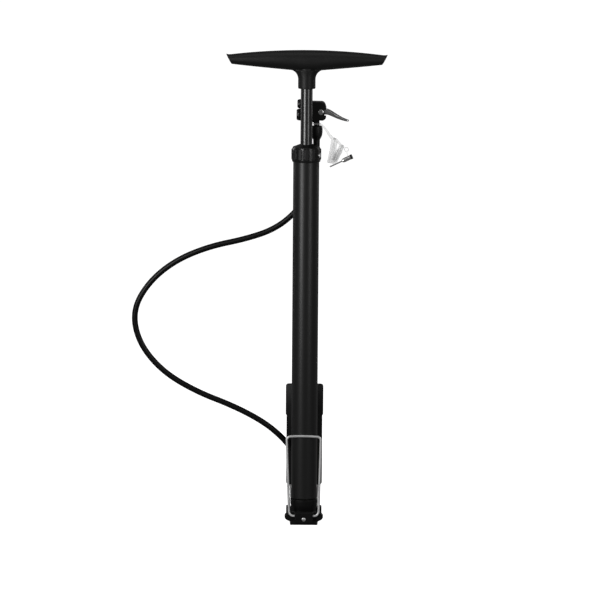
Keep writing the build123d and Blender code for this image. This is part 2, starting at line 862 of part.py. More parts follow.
def make_gland_nut(kind):
    """Gland nut with a finger-grip rim; the valve goes in through it."""
    if kind == "schrader":
        outer, hole, face, z = schrader_nut_r, schrader_valve_r + 0.2, nut_face, schrader_z
    else:
        outer, hole, face, z = presta_nut_r, presta_valve_r + 0.2, nut_face + 1, presta_z
    thread_r = body_bore[kind] - 0.02
    length = nut_back - face
    profile = [
        (hole, 0),
        (outer - 2.2, 0),
        (outer - 0.7, 0.9),
        (outer, 3),
        (outer, length - 1),
        (outer - 0.6, length),
        (thread_r, length),
        (thread_r, length + 3.4),
        (hole, length + 3.4),
    ]
    return lying_along_x(turned(*profile), face, chuck_y, z)


def make_grommet(kind):
    """Rubber grommet that the lever squeezes round the valve."""
    z = schrader_z if kind == "schrader" else presta_z
    hole = schrader_valve_r if kind == "schrader" else presta_valve_r
    outer = body_bore[kind] - 0.05
    start = nut_back + 3.5
    length = grommet_back - start
    profile = [(hole, 0), (outer, 0), (outer, length), (1.2, length)]
    profile += [(1.2, length - 1.5), (hole, length - 1.5)]
    return lying_along_x(turned(*profile), start, chuck_y, z)


pusher_right = lever_pivot_x - cam_offset * cos(radians(cam_lead_angle)) - cam_r - pusher_gap


def make_cam_pusher():
    """Crosshead that turns the cam's push into a squeeze on both grommets."""
    head = box_between(
        (pusher_left, chuck_y - pocket_half + 0.3, pocket_bottom + 0.4),
        (pusher_right, chuck_y + pocket_half - 0.3, pocket_top - 0.4),
    )
    head += bore_along_x(body_bore["presta"] - running, boss_left, pusher_left + 1, schrader_z)
    head += bore_along_x(presta_bore_r - running, boss_left, pusher_left + 1, presta_z)
    head -= bore_along_x(1.2, boss_left - 1, pusher_left + 2, schrader_z)
    return head - bore_along_x(1.2, boss_left - 1, pusher_left + 2, presta_z)


# Middle line of the lever from its pin to its tip, with its thickness there.
lever_line = [
    (0.0, 0.2, 7.2),
    (5.1, 0.2, 8.2),
    (8.4, -0.1, 7.6),
    (11.6, -1.2, 6.5),
    (16.5, -3.7, 5.4),
    (22.9, -7.1, 4.2),
    (29.4, -10.0, 2.8),
    (34.8, -11.7, 2.2),
    (37.4, -12.1, 1.8),
]
lever_tip_half = 3.4


def make_lever():
    """Cast lever with an eccentric round its pin."""
    top = [(x, z + thick / 2) for x, z, thick in lever_line]
    bottom = [(x, z - thick / 2) for x, z, thick in reversed(lever_line)]
    arm = slab(top + bottom, -lever_half_width, lever_half_width)
    end = lever_line[-1][0] + 1
    taper = make_face(
        Polyline(
            (-6, -lever_half_width),
            (8, -lever_half_width),
            (end, -lever_tip_half),
            (end, lever_tip_half),
            (8, lever_half_width),
            (-6, lever_half_width),
            close=True,
        )
    )
    arm &= Pos(0, 0, -20) * extrude(taper, amount=40)
    lead = radians(180 - cam_lead_angle)
    cam = Cylinder(cam_r, 2 * lever_half_width, rotation=(90, 0, 0))
    lever = arm + Pos(cam_offset * cos(lead), 0, cam_offset * sin(lead)) * cam
    lever -= Cylinder(lever_pin_r + running, 2 * lever_half_width + 2, rotation=(90, 0, 0))
    return Pos(lever_pivot_x, chuck_y, lever_pivot_z) * lever


# ---- Adapters on their strap ----


def strip(points, width):
    """Flat strap of the given width along points in X and Z, in the adapters' plane."""
    band = Plane.XZ * trace(Polyline(*points), line_width=strap_thick)
    return extrude(Pos(0, adapter_y + width / 2, 0) * band, amount=width)


cone_top = (37.9, adapter_y, strap_z - 18.3)
cone_bottom = (33.2, adapter_y - 5.7, strap_z - 50.8)
valve_top = (47.5, adapter_y, strap_z - 28.8)
valve_bottom = (37.6, adapter_y + 6.6, strap_z - 49.0)
link_centre = (54.0, adapter_y, strap_z - 32.6)
link_r = 3.6
needle_tip = (31.5, adapter_y, strap_z - 56.4)
needle_back = (62.0, adapter_y, strap_z - 41.8)


def along(start, end, solid):
    """Puts a solid that was turned about Z so that it runs from start towards end."""
    direction = Vector(*end) - Vector(*start)
    return Plane(start, x_dir=(0, 1, 0), z_dir=direction).location * solid


def distance(start, end):
    return (Vector(*end) - Vector(*start)).length


def link_bar(radius):
    bar = Cylinder(radius, 2.4, rotation=(90, 0, 0))
    return Pos(*link_centre) * bar


def make_adapter_strap():
    """Soft strap: a ring round the chuck's neck, and a tail with an eye for each adapter."""
    ring = rod_between(7.6, strap_z, strap_z + strap_ring_height)
    ring -= rod_between(neck_r + running, strap_z - 1, strap_z + strap_ring_height + 1)
    strap = at_neck(ring)
    arm_x = chuck_x + 5.0
    half = strap_width / 2
    strap += box_between(
        (arm_x - half, adapter_y - half, strap_z),
        (arm_x + half, chuck_y - 5.0, strap_z + strap_ring_height),
    )
    middle = strap_z + strap_ring_height / 2
    bend = [(20.8, -0.6), (26.2, -7.0), (30.6, -13.6), (34.6, -17.3)]
    bend += [(38.6, -18.7), (43.4, -23.2), (46.9, -27.8)]
    strap += strip([(arm_x - 1.4, middle)] + [(x, middle + z) for x, z in bend], strap_width)
    strap += strip([(46.0, middle - 26.6), (link_centre[0] - 3.4, link_centre[2] + 2.6)], strap_width)
    collar = rod_between(3.0, -0.9, 0.9) - rod_between(1.9, -2, 2)
    strap += along(cone_top, cone_bottom, collar)
    strap += along(valve_top, valve_bottom, Pos(0, 0, -1.2) * collar)
    strap -= along(cone_top, cone_bottom, rod_between(1.9, -1.5, 3) + rod_between(4.2, 0.95, 9))
    strap -= along(valve_top, valve_bottom, rod_between(1.9, -2.5, 2) + rod_between(4.4, -0.25, 8))
    return strap - link_bar(link_r + 0.05)


def make_cone_nozzle():
    """Tapered nozzle for air beds and balls: a stepped cone, open right through."""
    length = distance(cone_top, cone_bottom)
    shape = turned(
        (1.0, -1.2),
        (1.7, -1.2),
        (1.85, 0),
        (1.85, 1.0),
        (3.0, 1.3),
        (4.6, length - 6),
        (5.4, length - 5),
        (5.5, length),
        (3.4, length),
        (3.2, length - 9),
        (1.0, 4),
    )
    return along(cone_top, cone_bottom, shape)


def make_valve_adapter():
    """Short adapter that lets the wide chuck fit a narrow valve."""
    length = distance(valve_top, valve_bottom)
    shape = turned(
        (1.1, -2.2),
        (1.85, -2.2),
        (1.85, 0),
        (3.0, 0.2),
        (3.9, 4),
        (3.9, length - 6),
        (4.5, length - 5),
        (4.5, length),
        (3.0, length),
        (2.8, length - 8),
        (1.1, 4),
    )
    return along(valve_top, valve_bottom, shape)


def make_needle_link():
    """Clear ring at the strap's end with a thin tail down to the needle's head."""
    ring = link_bar(link_r) - link_bar(1.7)
    tail = strip([(link_centre[0] + 0.3, link_centre[2] - 3.0), (55.2, link_centre[2] - 11.0)], 1.6)
    return ring + tail - along(needle_tip, needle_back, rod_between(3.03, 0, 40))


needle_length = distance(needle_tip, needle_back)
head_start = needle_length - 15.0


def make_ball_needle():
    """Steel needle for balls, swelling into a threaded shoulder that its head grips."""
    shape = turned(
        (0.35, 0),
        (0.7, 0),
        (0.95, 1.2),
        (0.95, head_start - 1),
        (1.6, head_start),
        (1.6, head_start + 9),
        (0.35, head_start + 9),
    )
    return along(needle_tip, needle_back, shape)


def make_needle_head():
    """Knurled head of the needle, with its dark rubber washer's seat at the end."""
    shape = turned(
        (1.62, head_start),
        (2.2, head_start),
        (3.0, head_start + 2.5),
        (3.0, needle_length - 3),
        (2.2, needle_length - 3),
        (2.2, head_start + 9.2),
        (1.62, head_start + 9.2),
    )
    return along(needle_tip, needle_back, shape)


def make_needle_washer():
    shape = rod_between(3.3, needle_length - 2.98, needle_length)
    shape -= rod_between(1.2, needle_length - 4, needle_length + 1)
    return along(needle_tip, needle_back, shape)


nodes = {
    "barrel": make_barrel,
    "cap": make_cap,
    "cap_screws": make_cap_screws,
    "rod_bush": make_rod_bush,
    "top_bumper": make_top_bumper,
    "rod": make_rod,
    "piston": make_piston,
    "piston_ring": make_piston_ring,
    "piston_seal": make_piston_seal,
    "handle": make_handle,
    "handle_pin": lambda: handle_pin_bar(handle_pin_r - 0.01),
    "base": make_base,
    "base_seal": make_base_seal,
    "valve_seat": make_valve_seat,
    "valve_ball": make_valve_ball,
    "valve_spring": make_valve_spring,
    "outlet_nipple": make_outlet_nipple,
    "outlet_collar": make_outlet_collar,
    "hinge_block": make_hinge_block,
    "hinge_screw": make_hinge_screw,
    "front_stirrup": make_front_stirrup,
    "rear_wire": make_rear_wire,
    "rear_tread": make_rear_tread,
    "hose": make_hose,
    "hose_sleeve": make_hose_sleeve,
    "chuck_stem": make_chuck_stem,
    "chuck_body": make_chuck_body,
    "schrader_nut": lambda: make_gland_nut("schrader"),
    "presta_nut": lambda: make_gland_nut("presta"),
    "schrader_grommet": lambda: make_grommet("schrader"),
    "presta_grommet": lambda: make_grommet("presta"),
    "cam_pusher": make_cam_pusher,
    "lever": make_lever,
    "lever_pin": lambda: lever_pin_bar(lever_pin_r, lever_head_r),
    "adapter_strap": make_adapter_strap,
    "cone_nozzle": make_cone_nozzle,
    "valve_adapter": make_valve_adapter,
    "needle_link": make_needle_link,
    "ball_needle": make_ball_needle,
    "needle_head": make_needle_head,
    "needle_washer": make_needle_washer,
}

os.makedirs("parts", exist_ok=True)
for node, make in nodes.items():
    export_step(make(), f"parts/{node}.step")
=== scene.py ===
from math import atan2, cos, degrees, pi, radians, sin, sqrt, tan, tau

import bmesh
import bpy
from mathutils import Matrix, Vector


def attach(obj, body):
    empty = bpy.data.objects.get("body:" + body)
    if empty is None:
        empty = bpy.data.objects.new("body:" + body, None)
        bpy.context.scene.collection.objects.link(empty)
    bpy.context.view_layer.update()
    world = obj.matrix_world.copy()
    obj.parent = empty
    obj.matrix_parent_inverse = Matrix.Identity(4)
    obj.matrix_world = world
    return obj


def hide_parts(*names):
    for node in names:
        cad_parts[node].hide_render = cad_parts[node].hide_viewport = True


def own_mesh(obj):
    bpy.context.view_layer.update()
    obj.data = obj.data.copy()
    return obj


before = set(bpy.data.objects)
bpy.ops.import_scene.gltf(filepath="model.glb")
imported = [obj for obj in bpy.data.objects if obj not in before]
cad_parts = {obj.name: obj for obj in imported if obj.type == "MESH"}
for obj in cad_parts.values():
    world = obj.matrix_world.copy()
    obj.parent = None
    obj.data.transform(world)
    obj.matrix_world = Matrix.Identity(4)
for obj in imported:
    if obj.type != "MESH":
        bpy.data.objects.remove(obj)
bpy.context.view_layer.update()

# ---- Room ----
# A pale seamless floor, two tall soft lights in front of the pump, two weaker ones behind it,
# and a long lens a little above the middle of the barrel.


class Term:
    """One output in a material. Sums and products of terms add the maths nodes."""

    def __init__(self, finish, socket):
        self.finish = finish
        self.socket = socket

    def maths(self, operation, first, second):
        return self.finish.node("ShaderNodeMath", {"operation": operation}, {0: first, 1: second})

    def __add__(self, other):
        return self.maths("ADD", self, other)

    def __radd__(self, other):
        return self.maths("ADD", other, self)

    def __sub__(self, other):
        return self.maths("SUBTRACT", self, other)

    def __rsub__(self, other):
        return self.maths("SUBTRACT", other, self)

    def __mul__(self, other):
        return self.maths("MULTIPLY", self, other)

    def __rmul__(self, other):
        return self.maths("MULTIPLY", other, self)


class Finish:
    """A material with one main shader. Values that don't vary are set straight on its sockets."""

    def __init__(self, name, values):
        self.material = bpy.data.materials.new(name)
        self.material.use_nodes = True
        self.tree = self.material.node_tree
        self.shader = self.tree.nodes["Principled BSDF"]
        for socket, value in values.items():
            self.shader.inputs[socket].default_value = value

    def node(self, kind, settings=None, inputs=None, output=0):
        """Adds a node: its settings first, then a value or a link for each of its sockets."""
        made = self.tree.nodes.new(kind)
        for name, value in (settings or {}).items():
            if name == "stops":
                ramp = made.color_ramp.elements
                while len(ramp) < len(value):
                    ramp.new(0.5)
                for stop, (place, colour) in zip(ramp, value):
                    stop.position = place
                    stop.color = colour
            else:
                setattr(made, name, value)
        for name, value in (inputs or {}).items():
            if isinstance(value, Term):
                self.tree.links.new(value.socket, made.inputs[name])
            else:
                made.inputs[name].default_value = value
        return Term(self, made.outputs[output])

    def drive(self, socket, term):
        self.tree.links.new(term.socket, self.shader.inputs[socket])

    def grain(self, scale, stretch=(1, 1, 1), detail=3.0):
        """Cloudy values from 0 to 1, in lumps of about 1/scale metres, drawn out along an axis."""
        place = self.node("ShaderNodeTexCoord", output=3)
        place = self.node("ShaderNodeMapping", {}, {"Vector": place, "Scale": stretch})
        return self.node("ShaderNodeTexNoise", {}, {"Vector": place, "Scale": scale, "Detail": detail})

    def mixed(self, factor, first, second):
        return self.node("ShaderNodeMix", {"data_type": "RGBA"}, {0: factor, 6: first, 7: second}, 2)

    def relief(self, height, depth, strength=1.0):
        """Bumps of the surface from a height of 0 to 1, depth metres high."""
        self.drive(
            "Normal",
            self.node("ShaderNodeBump", {}, {"Height": height, "Distance": depth, "Strength": strength}),
        )


def grey(value):
    return (value, value, value, 1.0)


floor_paint = Finish("pale_floor", {"Roughness": 0.9, "Emission Strength": 0.95})
floor_tone = floor_paint.grain(3.0)
floor_paint.drive("Base Color", floor_paint.mixed(floor_tone, grey(0.86), grey(0.92)))
floor_paint.shader.inputs["Emission Color"].default_value = grey(1.0)

floor_half = 40.0
floor_mesh = bmesh.new()
bmesh.ops.create_grid(floor_mesh, x_segments=8, y_segments=8, size=floor_half)
bmesh.ops.translate(floor_mesh, vec=(0, 0, -0.0003), verts=floor_mesh.verts)
floor_data = bpy.data.meshes.new("floor")
floor_mesh.to_mesh(floor_data)
floor_mesh.free()
floor = bpy.data.objects.new("floor", floor_data)
floor.data.materials.append(floor_paint.material)
floor.visible_diffuse = False
floor.visible_glossy = False
bpy.context.scene.collection.objects.link(floor)

world = bpy.data.worlds.new("studio")
world.use_nodes = True
bpy.context.scene.world = world
backdrop = world.node_tree.nodes["Background"]
backdrop.inputs["Color"].default_value = grey(1.0)
seen = world.node_tree.nodes.new("ShaderNodeLightPath")
level = world.node_tree.nodes.new("ShaderNodeMapRange")
level.inputs["To Min"].default_value = 0.11
level.inputs["To Max"].default_value = 1.0
world.node_tree.links.new(seen.outputs["Is Camera Ray"], level.inputs["Value"])
world.node_tree.links.new(level.outputs["Result"], backdrop.inputs["Strength"])


def soft_light(name, bearing, distance, width, bottom, top, glow):
    """Upright soft box facing the pump. Its bearing is in degrees right of the camera."""
    turn = radians(bearing)
    lamp = bpy.data.lights.new(name, "AREA")
    lamp.shape = "RECTANGLE"
    lamp.size = width
    lamp.size_y = top - bottom
    lamp.energy = glow * pi * width * (top - bottom)
    box = bpy.data.objects.new(name, lamp)
    box.location = (distance * sin(turn), -distance * cos(turn), (top + bottom) / 2)
    box.rotation_euler = (pi / 2, 0, turn)
    bpy.context.scene.collection.objects.link(box)


soft_light("left_box", -38, 2.0, 0.62, 0.24, 1.7, 6.9)
soft_light("right_box", 38, 2.0, 0.50, 0.24, 1.7, 2.8)
soft_light("back_left_box", -128, 2.4, 0.7, 0.5, 2.2, 2.0)
soft_light("back_right_box", 128, 2.4, 0.7, 0.5, 2.2, 2.0)

top_lamp = bpy.data.lights.new("top_box", "AREA")
top_lamp.size = 1.6
top_lamp.energy = 5.0
top_box = bpy.data.objects.new("top_box", top_lamp)
top_box.location = (0, -0.4, 2.6)
bpy.context.scene.collection.objects.link(top_box)

view_fall = radians(8.0)        # how steeply the camera looks down
view_distance = 10.0
view_aim = Vector((-0.0071, 0.0, 0.303))
camera_data = bpy.data.cameras.new("camera")
camera_data.lens = 445.7
camera_data.clip_end = 200.0
camera = bpy.data.objects.new("camera", camera_data)
camera.location = view_aim + view_distance * Vector((0, -cos(view_fall), sin(view_fall)))
lean = Matrix.Rotation(radians(0.4), 4, "Z")
camera.matrix_world = (
    Matrix.Translation(camera.location) @ Matrix.Rotation(pi / 2 - view_fall, 4, "X") @ lean
)
bpy.context.scene.collection.objects.link(camera)
bpy.context.scene.camera = camera
bpy.context.scene.view_settings.view_transform = "Standard"

# ---- Base ----
# One black nylon moulding with a fine matt grain: the sole, the bar across its front, the socket
# that takes the barrel's foot, the outlet's boss behind it and an ear each side for the rear wire.

mm = 0.001


def nylon(name, shine):
    """Black nylon with a fine matt grain."""
    finish = Finish(name, {"IOR": 1.5, "Specular IOR Level": shine})
    cloud = finish.grain(60.0)
    pimple = finish.grain(2600.0, detail=2.0)
    finish.drive("Base Color", finish.mixed(cloud, grey(0.003), grey(0.007)))
    finish.drive("Roughness", 0.34 + 0.16 * cloud + 0.06 * pimple)
    finish.relief(pimple, 0.00012, 0.5)
    return finish


base_nylon = nylon("base_nylon", 0.18)
moulded = nylon("moulded_nylon", 0.42)


def eased(outline, reach, steps=3):
    """A closed outline with its corners rounded off; corners on the axis stay."""
    result = []
    for index, corner in enumerate(outline):
        here = Vector(corner)
        before = Vector(outline[index - 1]) - here
        after = Vector(outline[(index + 1) % len(outline)]) - here
        cut = min(reach, 0.45 * before.length, 0.45 * after.length)
        first = here + before.normalized() * cut
        last = here + after.normalized() * cut
        for step in range(steps + 1):
            share = step / steps
            result.append(first.lerp(here, share).lerp(here.lerp(last, share), share))
    return result


def turn(bm, profile, place=Matrix(), steps=72):
    """Turns a closed half outline, as radius and height, about its axis."""
    rings = []
    for radius, height in profile:
        count = steps if radius > 0.001 else 1
        ring = []
        for step in range(count):
            angle = tau * step / steps
            ring.append(bm.verts.new(place @ Vector((radius * cos(angle), radius * sin(angle), height))))
        rings.append(ring)
    for low, high in zip(rings, rings[1:] + rings[:1]):
        if len(low) == 1 and len(high) == 1:
            continue
        for step in range(steps):
            after = step + 1
            corners = [
                low[step % len(low)],
                low[after % len(low)],
                high[after % len(high)],
                high[step % len(high)],
            ]
            bm.faces.new(list(dict.fromkeys(corners)))


def block(bm, outline, near, far, place=Matrix(), ease=0.5, steps=2):
    """Outline in X and Z made solid from near to far along Y, with its rims eased."""
    front = [bm.verts.new(place @ Vector((x, near, z))) for x, z in outline]
    back = [bm.verts.new(place @ Vector((x, far, z))) for x, z in outline]
    faces = [bm.faces.new(front), bm.faces.new(back[::-1])]
    for index in range(len(outline)):
        after = (index + 1) % len(outline)
        bm.faces.new((front[after], front[index], back[index], back[after]))
    if ease:
        rims = list({edge for face in faces for edge in face.edges})
        bmesh.ops.bevel(bm, geom=rims, offset=ease, segments=steps, profile=0.5, affect="EDGES")


def oblong(low_x, low_z, high_x, high_z, reach=1.0):
    return eased([(low_x, low_z), (high_x, low_z), (high_x, high_z), (low_x, high_z)], reach)


def evaluated(bm, *modifiers):
    """The mesh with modifiers applied, each given as its type and its settings."""
    data = bpy.data.meshes.new("blank")
    bmesh.ops.recalc_face_normals(bm, faces=bm.faces)
    bm.to_mesh(data)
    bm.free()
    carrier = bpy.data.objects.new("blank", data)
    bpy.context.scene.collection.objects.link(carrier)
    for kind, settings in modifiers:
        modifier = carrier.modifiers.new(kind, kind)
        for name, value in settings.items():
            setattr(modifier, name, value)
    result = bmesh.new()
    result.from_object(carrier, bpy.context.evaluated_depsgraph_get())
    bpy.data.objects.remove(carrier)
    return result


def fused(bm, voxel, passes, keep=1.0):
    """Runs overlapping shapes together into the one soft-edged skin of a moulding."""
    steps = [
        ("REMESH", {"mode": "VOXEL", "voxel_size": voxel}),
        ("SMOOTH", {"factor": 0.5, "iterations": passes}),
    ]
    if keep < 1:
        steps.append(("DECIMATE", {"ratio": keep}))
    return evaluated(bm, *steps)


def carved(bm, cutter):
    """The shape with the cutter's shape taken out of it."""
    data = bpy.data.meshes.new("cutter")
    bmesh.ops.recalc_face_normals(cutter, faces=cutter.faces)
    cutter.to_mesh(data)
    cutter.free()
    tool = bpy.data.objects.new("cutter", data)
    bpy.context.scene.collection.objects.link(tool)
    result = evaluated(bm, ("BOOLEAN", {"object": tool, "operation": "DIFFERENCE", "solver": "EXACT"}))
    bpy.data.objects.remove(tool)
    return result


def fit(name, bm, finish, body, slot, *nodes, sharp=32.0):
    """Makes the piece from a mesh in millimetres and fixes it to its body, in its nodes' place."""
    bmesh.ops.recalc_face_normals(bm, faces=bm.faces)
    bmesh.ops.scale(bm, vec=(mm, mm, mm), verts=bm.verts)
    data = bpy.data.meshes.new(name)
    bm.to_mesh(data)
    bm.free()
    data.shade_smooth()
    data.set_sharp_from_angle(angle=radians(sharp))
    data.materials.append(finish.material)
    piece = bpy.data.objects.new(name, data)
    bpy.context.scene.collection.objects.link(piece)
    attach(piece, body)
    if nodes:
        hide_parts(*nodes)
    return piece


def coat(finish, *nodes):
    """Gives CAD nodes this finish."""
    for node in nodes:
        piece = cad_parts[node]
        if not piece.material_slots:
            piece.data.materials.append(finish.material)
        for slot in piece.material_slots:
            slot.material = finish.material


barrel_r = 17.5
bore_r = 16.0
barrel_foot = 33.0
outlet_y = 24.4
ear_y, ear_z, ear_r = 22.0, 13.8, 5.8
ear_inner, ear_outer = 19.4, 24.0


def along_x(x, y, z, towards=1):
    return Matrix.Translation((x, y, z)) @ Matrix.Rotation(towards * pi / 2, 4, "Y")


base = bmesh.new()
block(base, [(-18.4, 0), (-19.0, 4.9), (19.0, 4.9), (18.4, 0)], -25, 27, ease=0.8)
bar_outline = [
    (-18.6, 3.9), (-24.0, 6.2), (-26.0, 9.2), (-26.0, 11.6), (-24.8, 13.6), (-22.4, 14.6),
    (22.4, 14.6), (24.8, 13.6), (26.0, 11.6), (26.0, 9.2), (24.0, 6.2), (18.6, 3.9),
]
block(base, eased(bar_outline, 1.2), -19.5, -6, ease=0.9)
block(base, oblong(-19, 4, 19, 15), -18.6, 16, ease=0.7)
turn(
    base,
    eased([(0, 12), (16.5, 12), (16.5, 17.5), (17.85, 24), (18.3, 29), (18.3, 32.6), (0, 32.6)], 0.4),
)
turn(base, eased([(0, 3), (6.4, 3), (6.4, 20), (0, 20)], 0.6), Matrix.Translation((0, outlet_y, 0)))
block(base, oblong(-6.4, 2, 6.4, 17), 1, outlet_y, ease=0.5)
for side in (-1, 1):
    ear_place = along_x(side * ear_inner, ear_y, ear_z, side)
    turn(base, eased([(0, 0), (ear_r, 0), (ear_r, 4.6), (0, 4.6)], 0.7), ear_place)
    low, high = sorted((side * ear_inner, side * ear_outer))
    block(base, oblong(low, 8.0, high, 19.6), 10, ear_y, ease=0.6)
    low, high = sorted((side * 16, side * ear_outer))
    block(base, oblong(low, 5.8, high, 19.6), 4, 13, ease=0.6)
base = fused(base, 0.55, 3, keep=0.4)
drill = bmesh.new()
for side in (-1, 1):
    turn(drill, [(0, -1), (1.6, -1), (1.6, 6), (0, 6)], along_x(side * ear_inner, ear_y, ear_z, side), 32)
turn(drill, [(0, 14), (3.52, 14), (3.52, 22), (0, 22)], Matrix.Translation((0, outlet_y, 0)), 48)
base = carved(base, drill)
fit("base_moulding", base, base_nylon, "pump_body", "black_nylon", "base")

# ---- Check valve and outlet ----
# A brass seat pressed into the base's spigot, a steel ball sprung up against it, and a brass
# nipple behind it, where a plated ferrule grips the hose. The seat and ball are out of sight.

brass = Finish("turned_brass", {"Metallic": 1.0, "IOR": 1.45})
brass_rings = brass.grain(900.0, (0.2, 0.2, 6.0))
brass.drive("Base Color", brass.mixed(brass_rings, (0.60, 0.44, 0.20, 1), (0.72, 0.56, 0.28, 1)))
brass.drive("Roughness", 0.24 + 0.14 * brass_rings)

plated = Finish("zinc_plate", {"Metallic": 1.0})
plated_cloud = plated.grain(400.0)
plated.drive("Base Color", plated.mixed(plated_cloud, grey(0.74), grey(0.90)))
plated.drive("Roughness", 0.20 + 0.16 * plated_cloud)
plated.relief(plated.grain(5000.0), 0.00003, 0.4)

drawn_wire = Finish("drawn_wire", {"Metallic": 0.6})
wire_lines = drawn_wire.grain(1400.0, (1.0, 1.0, 0.03))
drawn_wire.drive("Base Color", drawn_wire.mixed(wire_lines, grey(0.84), grey(0.96)))
drawn_wire.drive("Roughness", 0.30 + 0.14 * wire_lines)
drawn_wire.relief(wire_lines, 0.00004, 0.35)

rubber = Finish("moulded_rubber", {"IOR": 1.5})
rubber_cloud = rubber.grain(300.0)
rubber.drive("Base Color", rubber.mixed(rubber_cloud, grey(0.010), grey(0.018)))
rubber.drive("Roughness", 0.55 + 0.2 * rubber_cloud)
rubber.relief(rubber.grain(3000.0), 0.00006, 0.5)

coat(brass, "valve_seat", "outlet_nipple")
coat(plated, "valve_ball")
coat(rubber, "base_seal")

ferrule = bmesh.new()
turn(
    ferrule,
    eased(
        [
            (2.62, 24.5), (5.2, 24.5), (5.2, 28.3), (4.75, 28.7), (4.75, 29.4), (5.1, 29.8),
            (5.1, 30.4), (4.75, 30.8), (4.75, 31.4), (5.2, 31.8), (5.2, 34), (2.62, 34),
        ],
        0.3,
        2,
    ),
    Matrix.Translation((0, outlet_y, 0)),
    64,
)
fit("hose_ferrule", ferrule, plated, "pump_body", "bright_steel", "outlet_collar")

# ---- Hinge block and its screw ----
# A small nylon block screwed to the front of the base; the two ends of the stirrup turn in it.

screw_z = 8.0
hinge_y, hinge_z = -22.5, 12.0
into_front = Matrix.Translation((0, -27, screw_z)) @ Matrix.Rotation(pi / 2, 4, "X")

hinge_block = bmesh.new()
block(hinge_block, oblong(-12.4, 5.0, 12.4, 17.5, 1.4), -26.95, -19.6, ease=1.4, steps=3)
block(hinge_block, oblong(-12.4, 3.0, 12.4, 9.0, 0.8), -26.95, -25.5, ease=0.6)
hinge_block = fused(hinge_block, 0.4, 2, keep=0.5)
drill = bmesh.new()
turn(drill, [(0, -10), (1.93, -10), (1.93, 3), (0, 3)], into_front, 32)
for side in (-1, 1):
    turn(drill, [(0, 0), (1.56, 0), (1.56, 9), (0, 9)], along_x(side * 4.6, hinge_y, hinge_z, side), 32)
hinge_block = carved(hinge_block, drill)
fit("stirrup_block", hinge_block, base_nylon, "pump_body", "black_nylon", "hinge_block")


def cross_screw(head_r, head_height, shank_r, length, cross, place):
    """Domed screw with a cross recess, its head standing out along Z from the origin."""
    screw = bmesh.new()
    profile = [(0, -length), (shank_r, -length), (shank_r, 0), (head_r, 0), (head_r, 0.45 * head_height)]
    dome = [
        (head_r * cos(step * pi / 12), head_height * (0.45 + 0.55 * sin(step * pi / 12)))
        for step in range(1, 6)
    ]
    turn(screw, profile + dome + [(0, head_height)], place, 48)
    cutter = bmesh.new()
    for turned_by in (0, pi / 2):
        arm = [(-cross / 2, 0.35 * head_height), (cross / 2, 0.35 * head_height)]
        arm += [(cross / 2, 2 * head_height), (-cross / 2, 2 * head_height)]
        block(cutter, arm, -0.4, 0.4, place @ Matrix.Rotation(turned_by, 4, "Z"), ease=0)
        if turned_by == 0:
            screw = carved(screw, cutter)
            cutter = bmesh.new()
    return carved(screw, cutter)


fit(
    "block_screw",
    cross_screw(2.6, 1.6, 1.9, 16.0, 3.2, into_front),
    plated, "pump_body", "bright_steel", "hinge_screw",
)

# ---- Front stirrup ----
# A loop of bright 3 mm spring wire for the foot. Its ends are bent in and turn in the block.


def bent(corners, radii, steps=10):
    """Points along straight runs joined by arcs, for a wire bent round formers."""
    points = [Vector(corners[0])]
    for before, corner, after, radius in zip(corners, corners[1:], corners[2:], radii):
        here = Vector(corner)
        into = (Vector(before) - here).normalized()
        out = (Vector(after) - here).normalized()
        half = into.angle(out) / 2
        reach = radius / tan(half)
        middle = here + (into + out).normalized() * radius / sin(half)
        first = here + into * reach - middle
        last = here + out * reach - middle
        swing = first.angle(last)
        axis = first.cross(last).normalized()
        for step in range(steps + 1):
            points.append(middle + Matrix.Rotation(swing * step / steps, 3, axis) @ first)
    points.append(Vector(corners[-1]))
    return points


def bar(bm, points, radius, sides=20):
    """Round bar along points, with its two ends eased."""
    heading = (points[1] - points[0]).normalized()
    upright = heading.orthogonal().normalized()
    rings = []
    stations = [(points[0], radius * 0.75)]
    stations.append((points[0] + heading * radius * 0.25, radius))
    stations += [(point, radius) for point in points[1:-1]]
    tail = (points[-1] - points[-2]).normalized()
    stations.append((points[-1] - tail * radius * 0.25, radius))
    stations.append((points[-1], radius * 0.75))
    for index, (point, reach) in enumerate(stations):
        back = stations[max(index - 1, 0)][0]
        ahead = stations[min(index + 1, len(stations) - 1)][0]
        heading = (ahead - back).normalized()
        upright = (upright - heading * upright.dot(heading)).normalized()
        sideways = heading.cross(upright)
        rings.append(
            [
                bm.verts.new(
                    point + reach * (cos(tau * step / sides) * upright + sin(tau * step / sides) * sideways)
                )
                for step in range(sides)
            ]
        )
    for low, high in zip(rings, rings[1:]):
        for step in range(sides):
            after = (step + 1) % sides
            bm.faces.new((low[step], low[after], high[after], high[step]))
    bm.faces.new(rings[0][::-1])
    bm.faces.new(rings[-1])


stirrup_y = -19.4
stirrup_foot = [(-5, hinge_y, hinge_z), (-19.8, hinge_y, hinge_z)]
stirrup_top = [(-23.8, stirrup_y, 119.7), (0, stirrup_y, 121.0), (22.3, stirrup_y, 119.4)]
stirrup_route = stirrup_foot + stirrup_top + [(-x, y, z) for x, y, z in reversed(stirrup_foot)]
stirrup = bmesh.new()
bar(stirrup, bent(stirrup_route, [6.5, 5.0, 300.0, 5.0, 6.5]), 1.5, 24)
fit("stirrup_wire", stirrup, drawn_wire, "front_foot", "bright_wire", "front_stirrup")

# ---- Check valve's spring ----
# Fine wire coil under the ball. It shortens as the ball is pushed off its seat.

coil = bmesh.new()
coil_low, coil_high, coil_turns = 12.37, 35.7, 7
coil_points = []
for step in range(coil_turns * 24 + 1):
    angle = tau * step / 24
    height = coil_low + (coil_high - coil_low) * step / (coil_turns * 24)
    coil_points.append(Vector((2.6 * cos(angle), 2.6 * sin(angle), height)))
bar(coil, coil_points, 0.35, 10)
spring = fit("ball_spring", coil, drawn_wire, "pump_body", "bright_wire", "valve_spring")
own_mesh(spring)

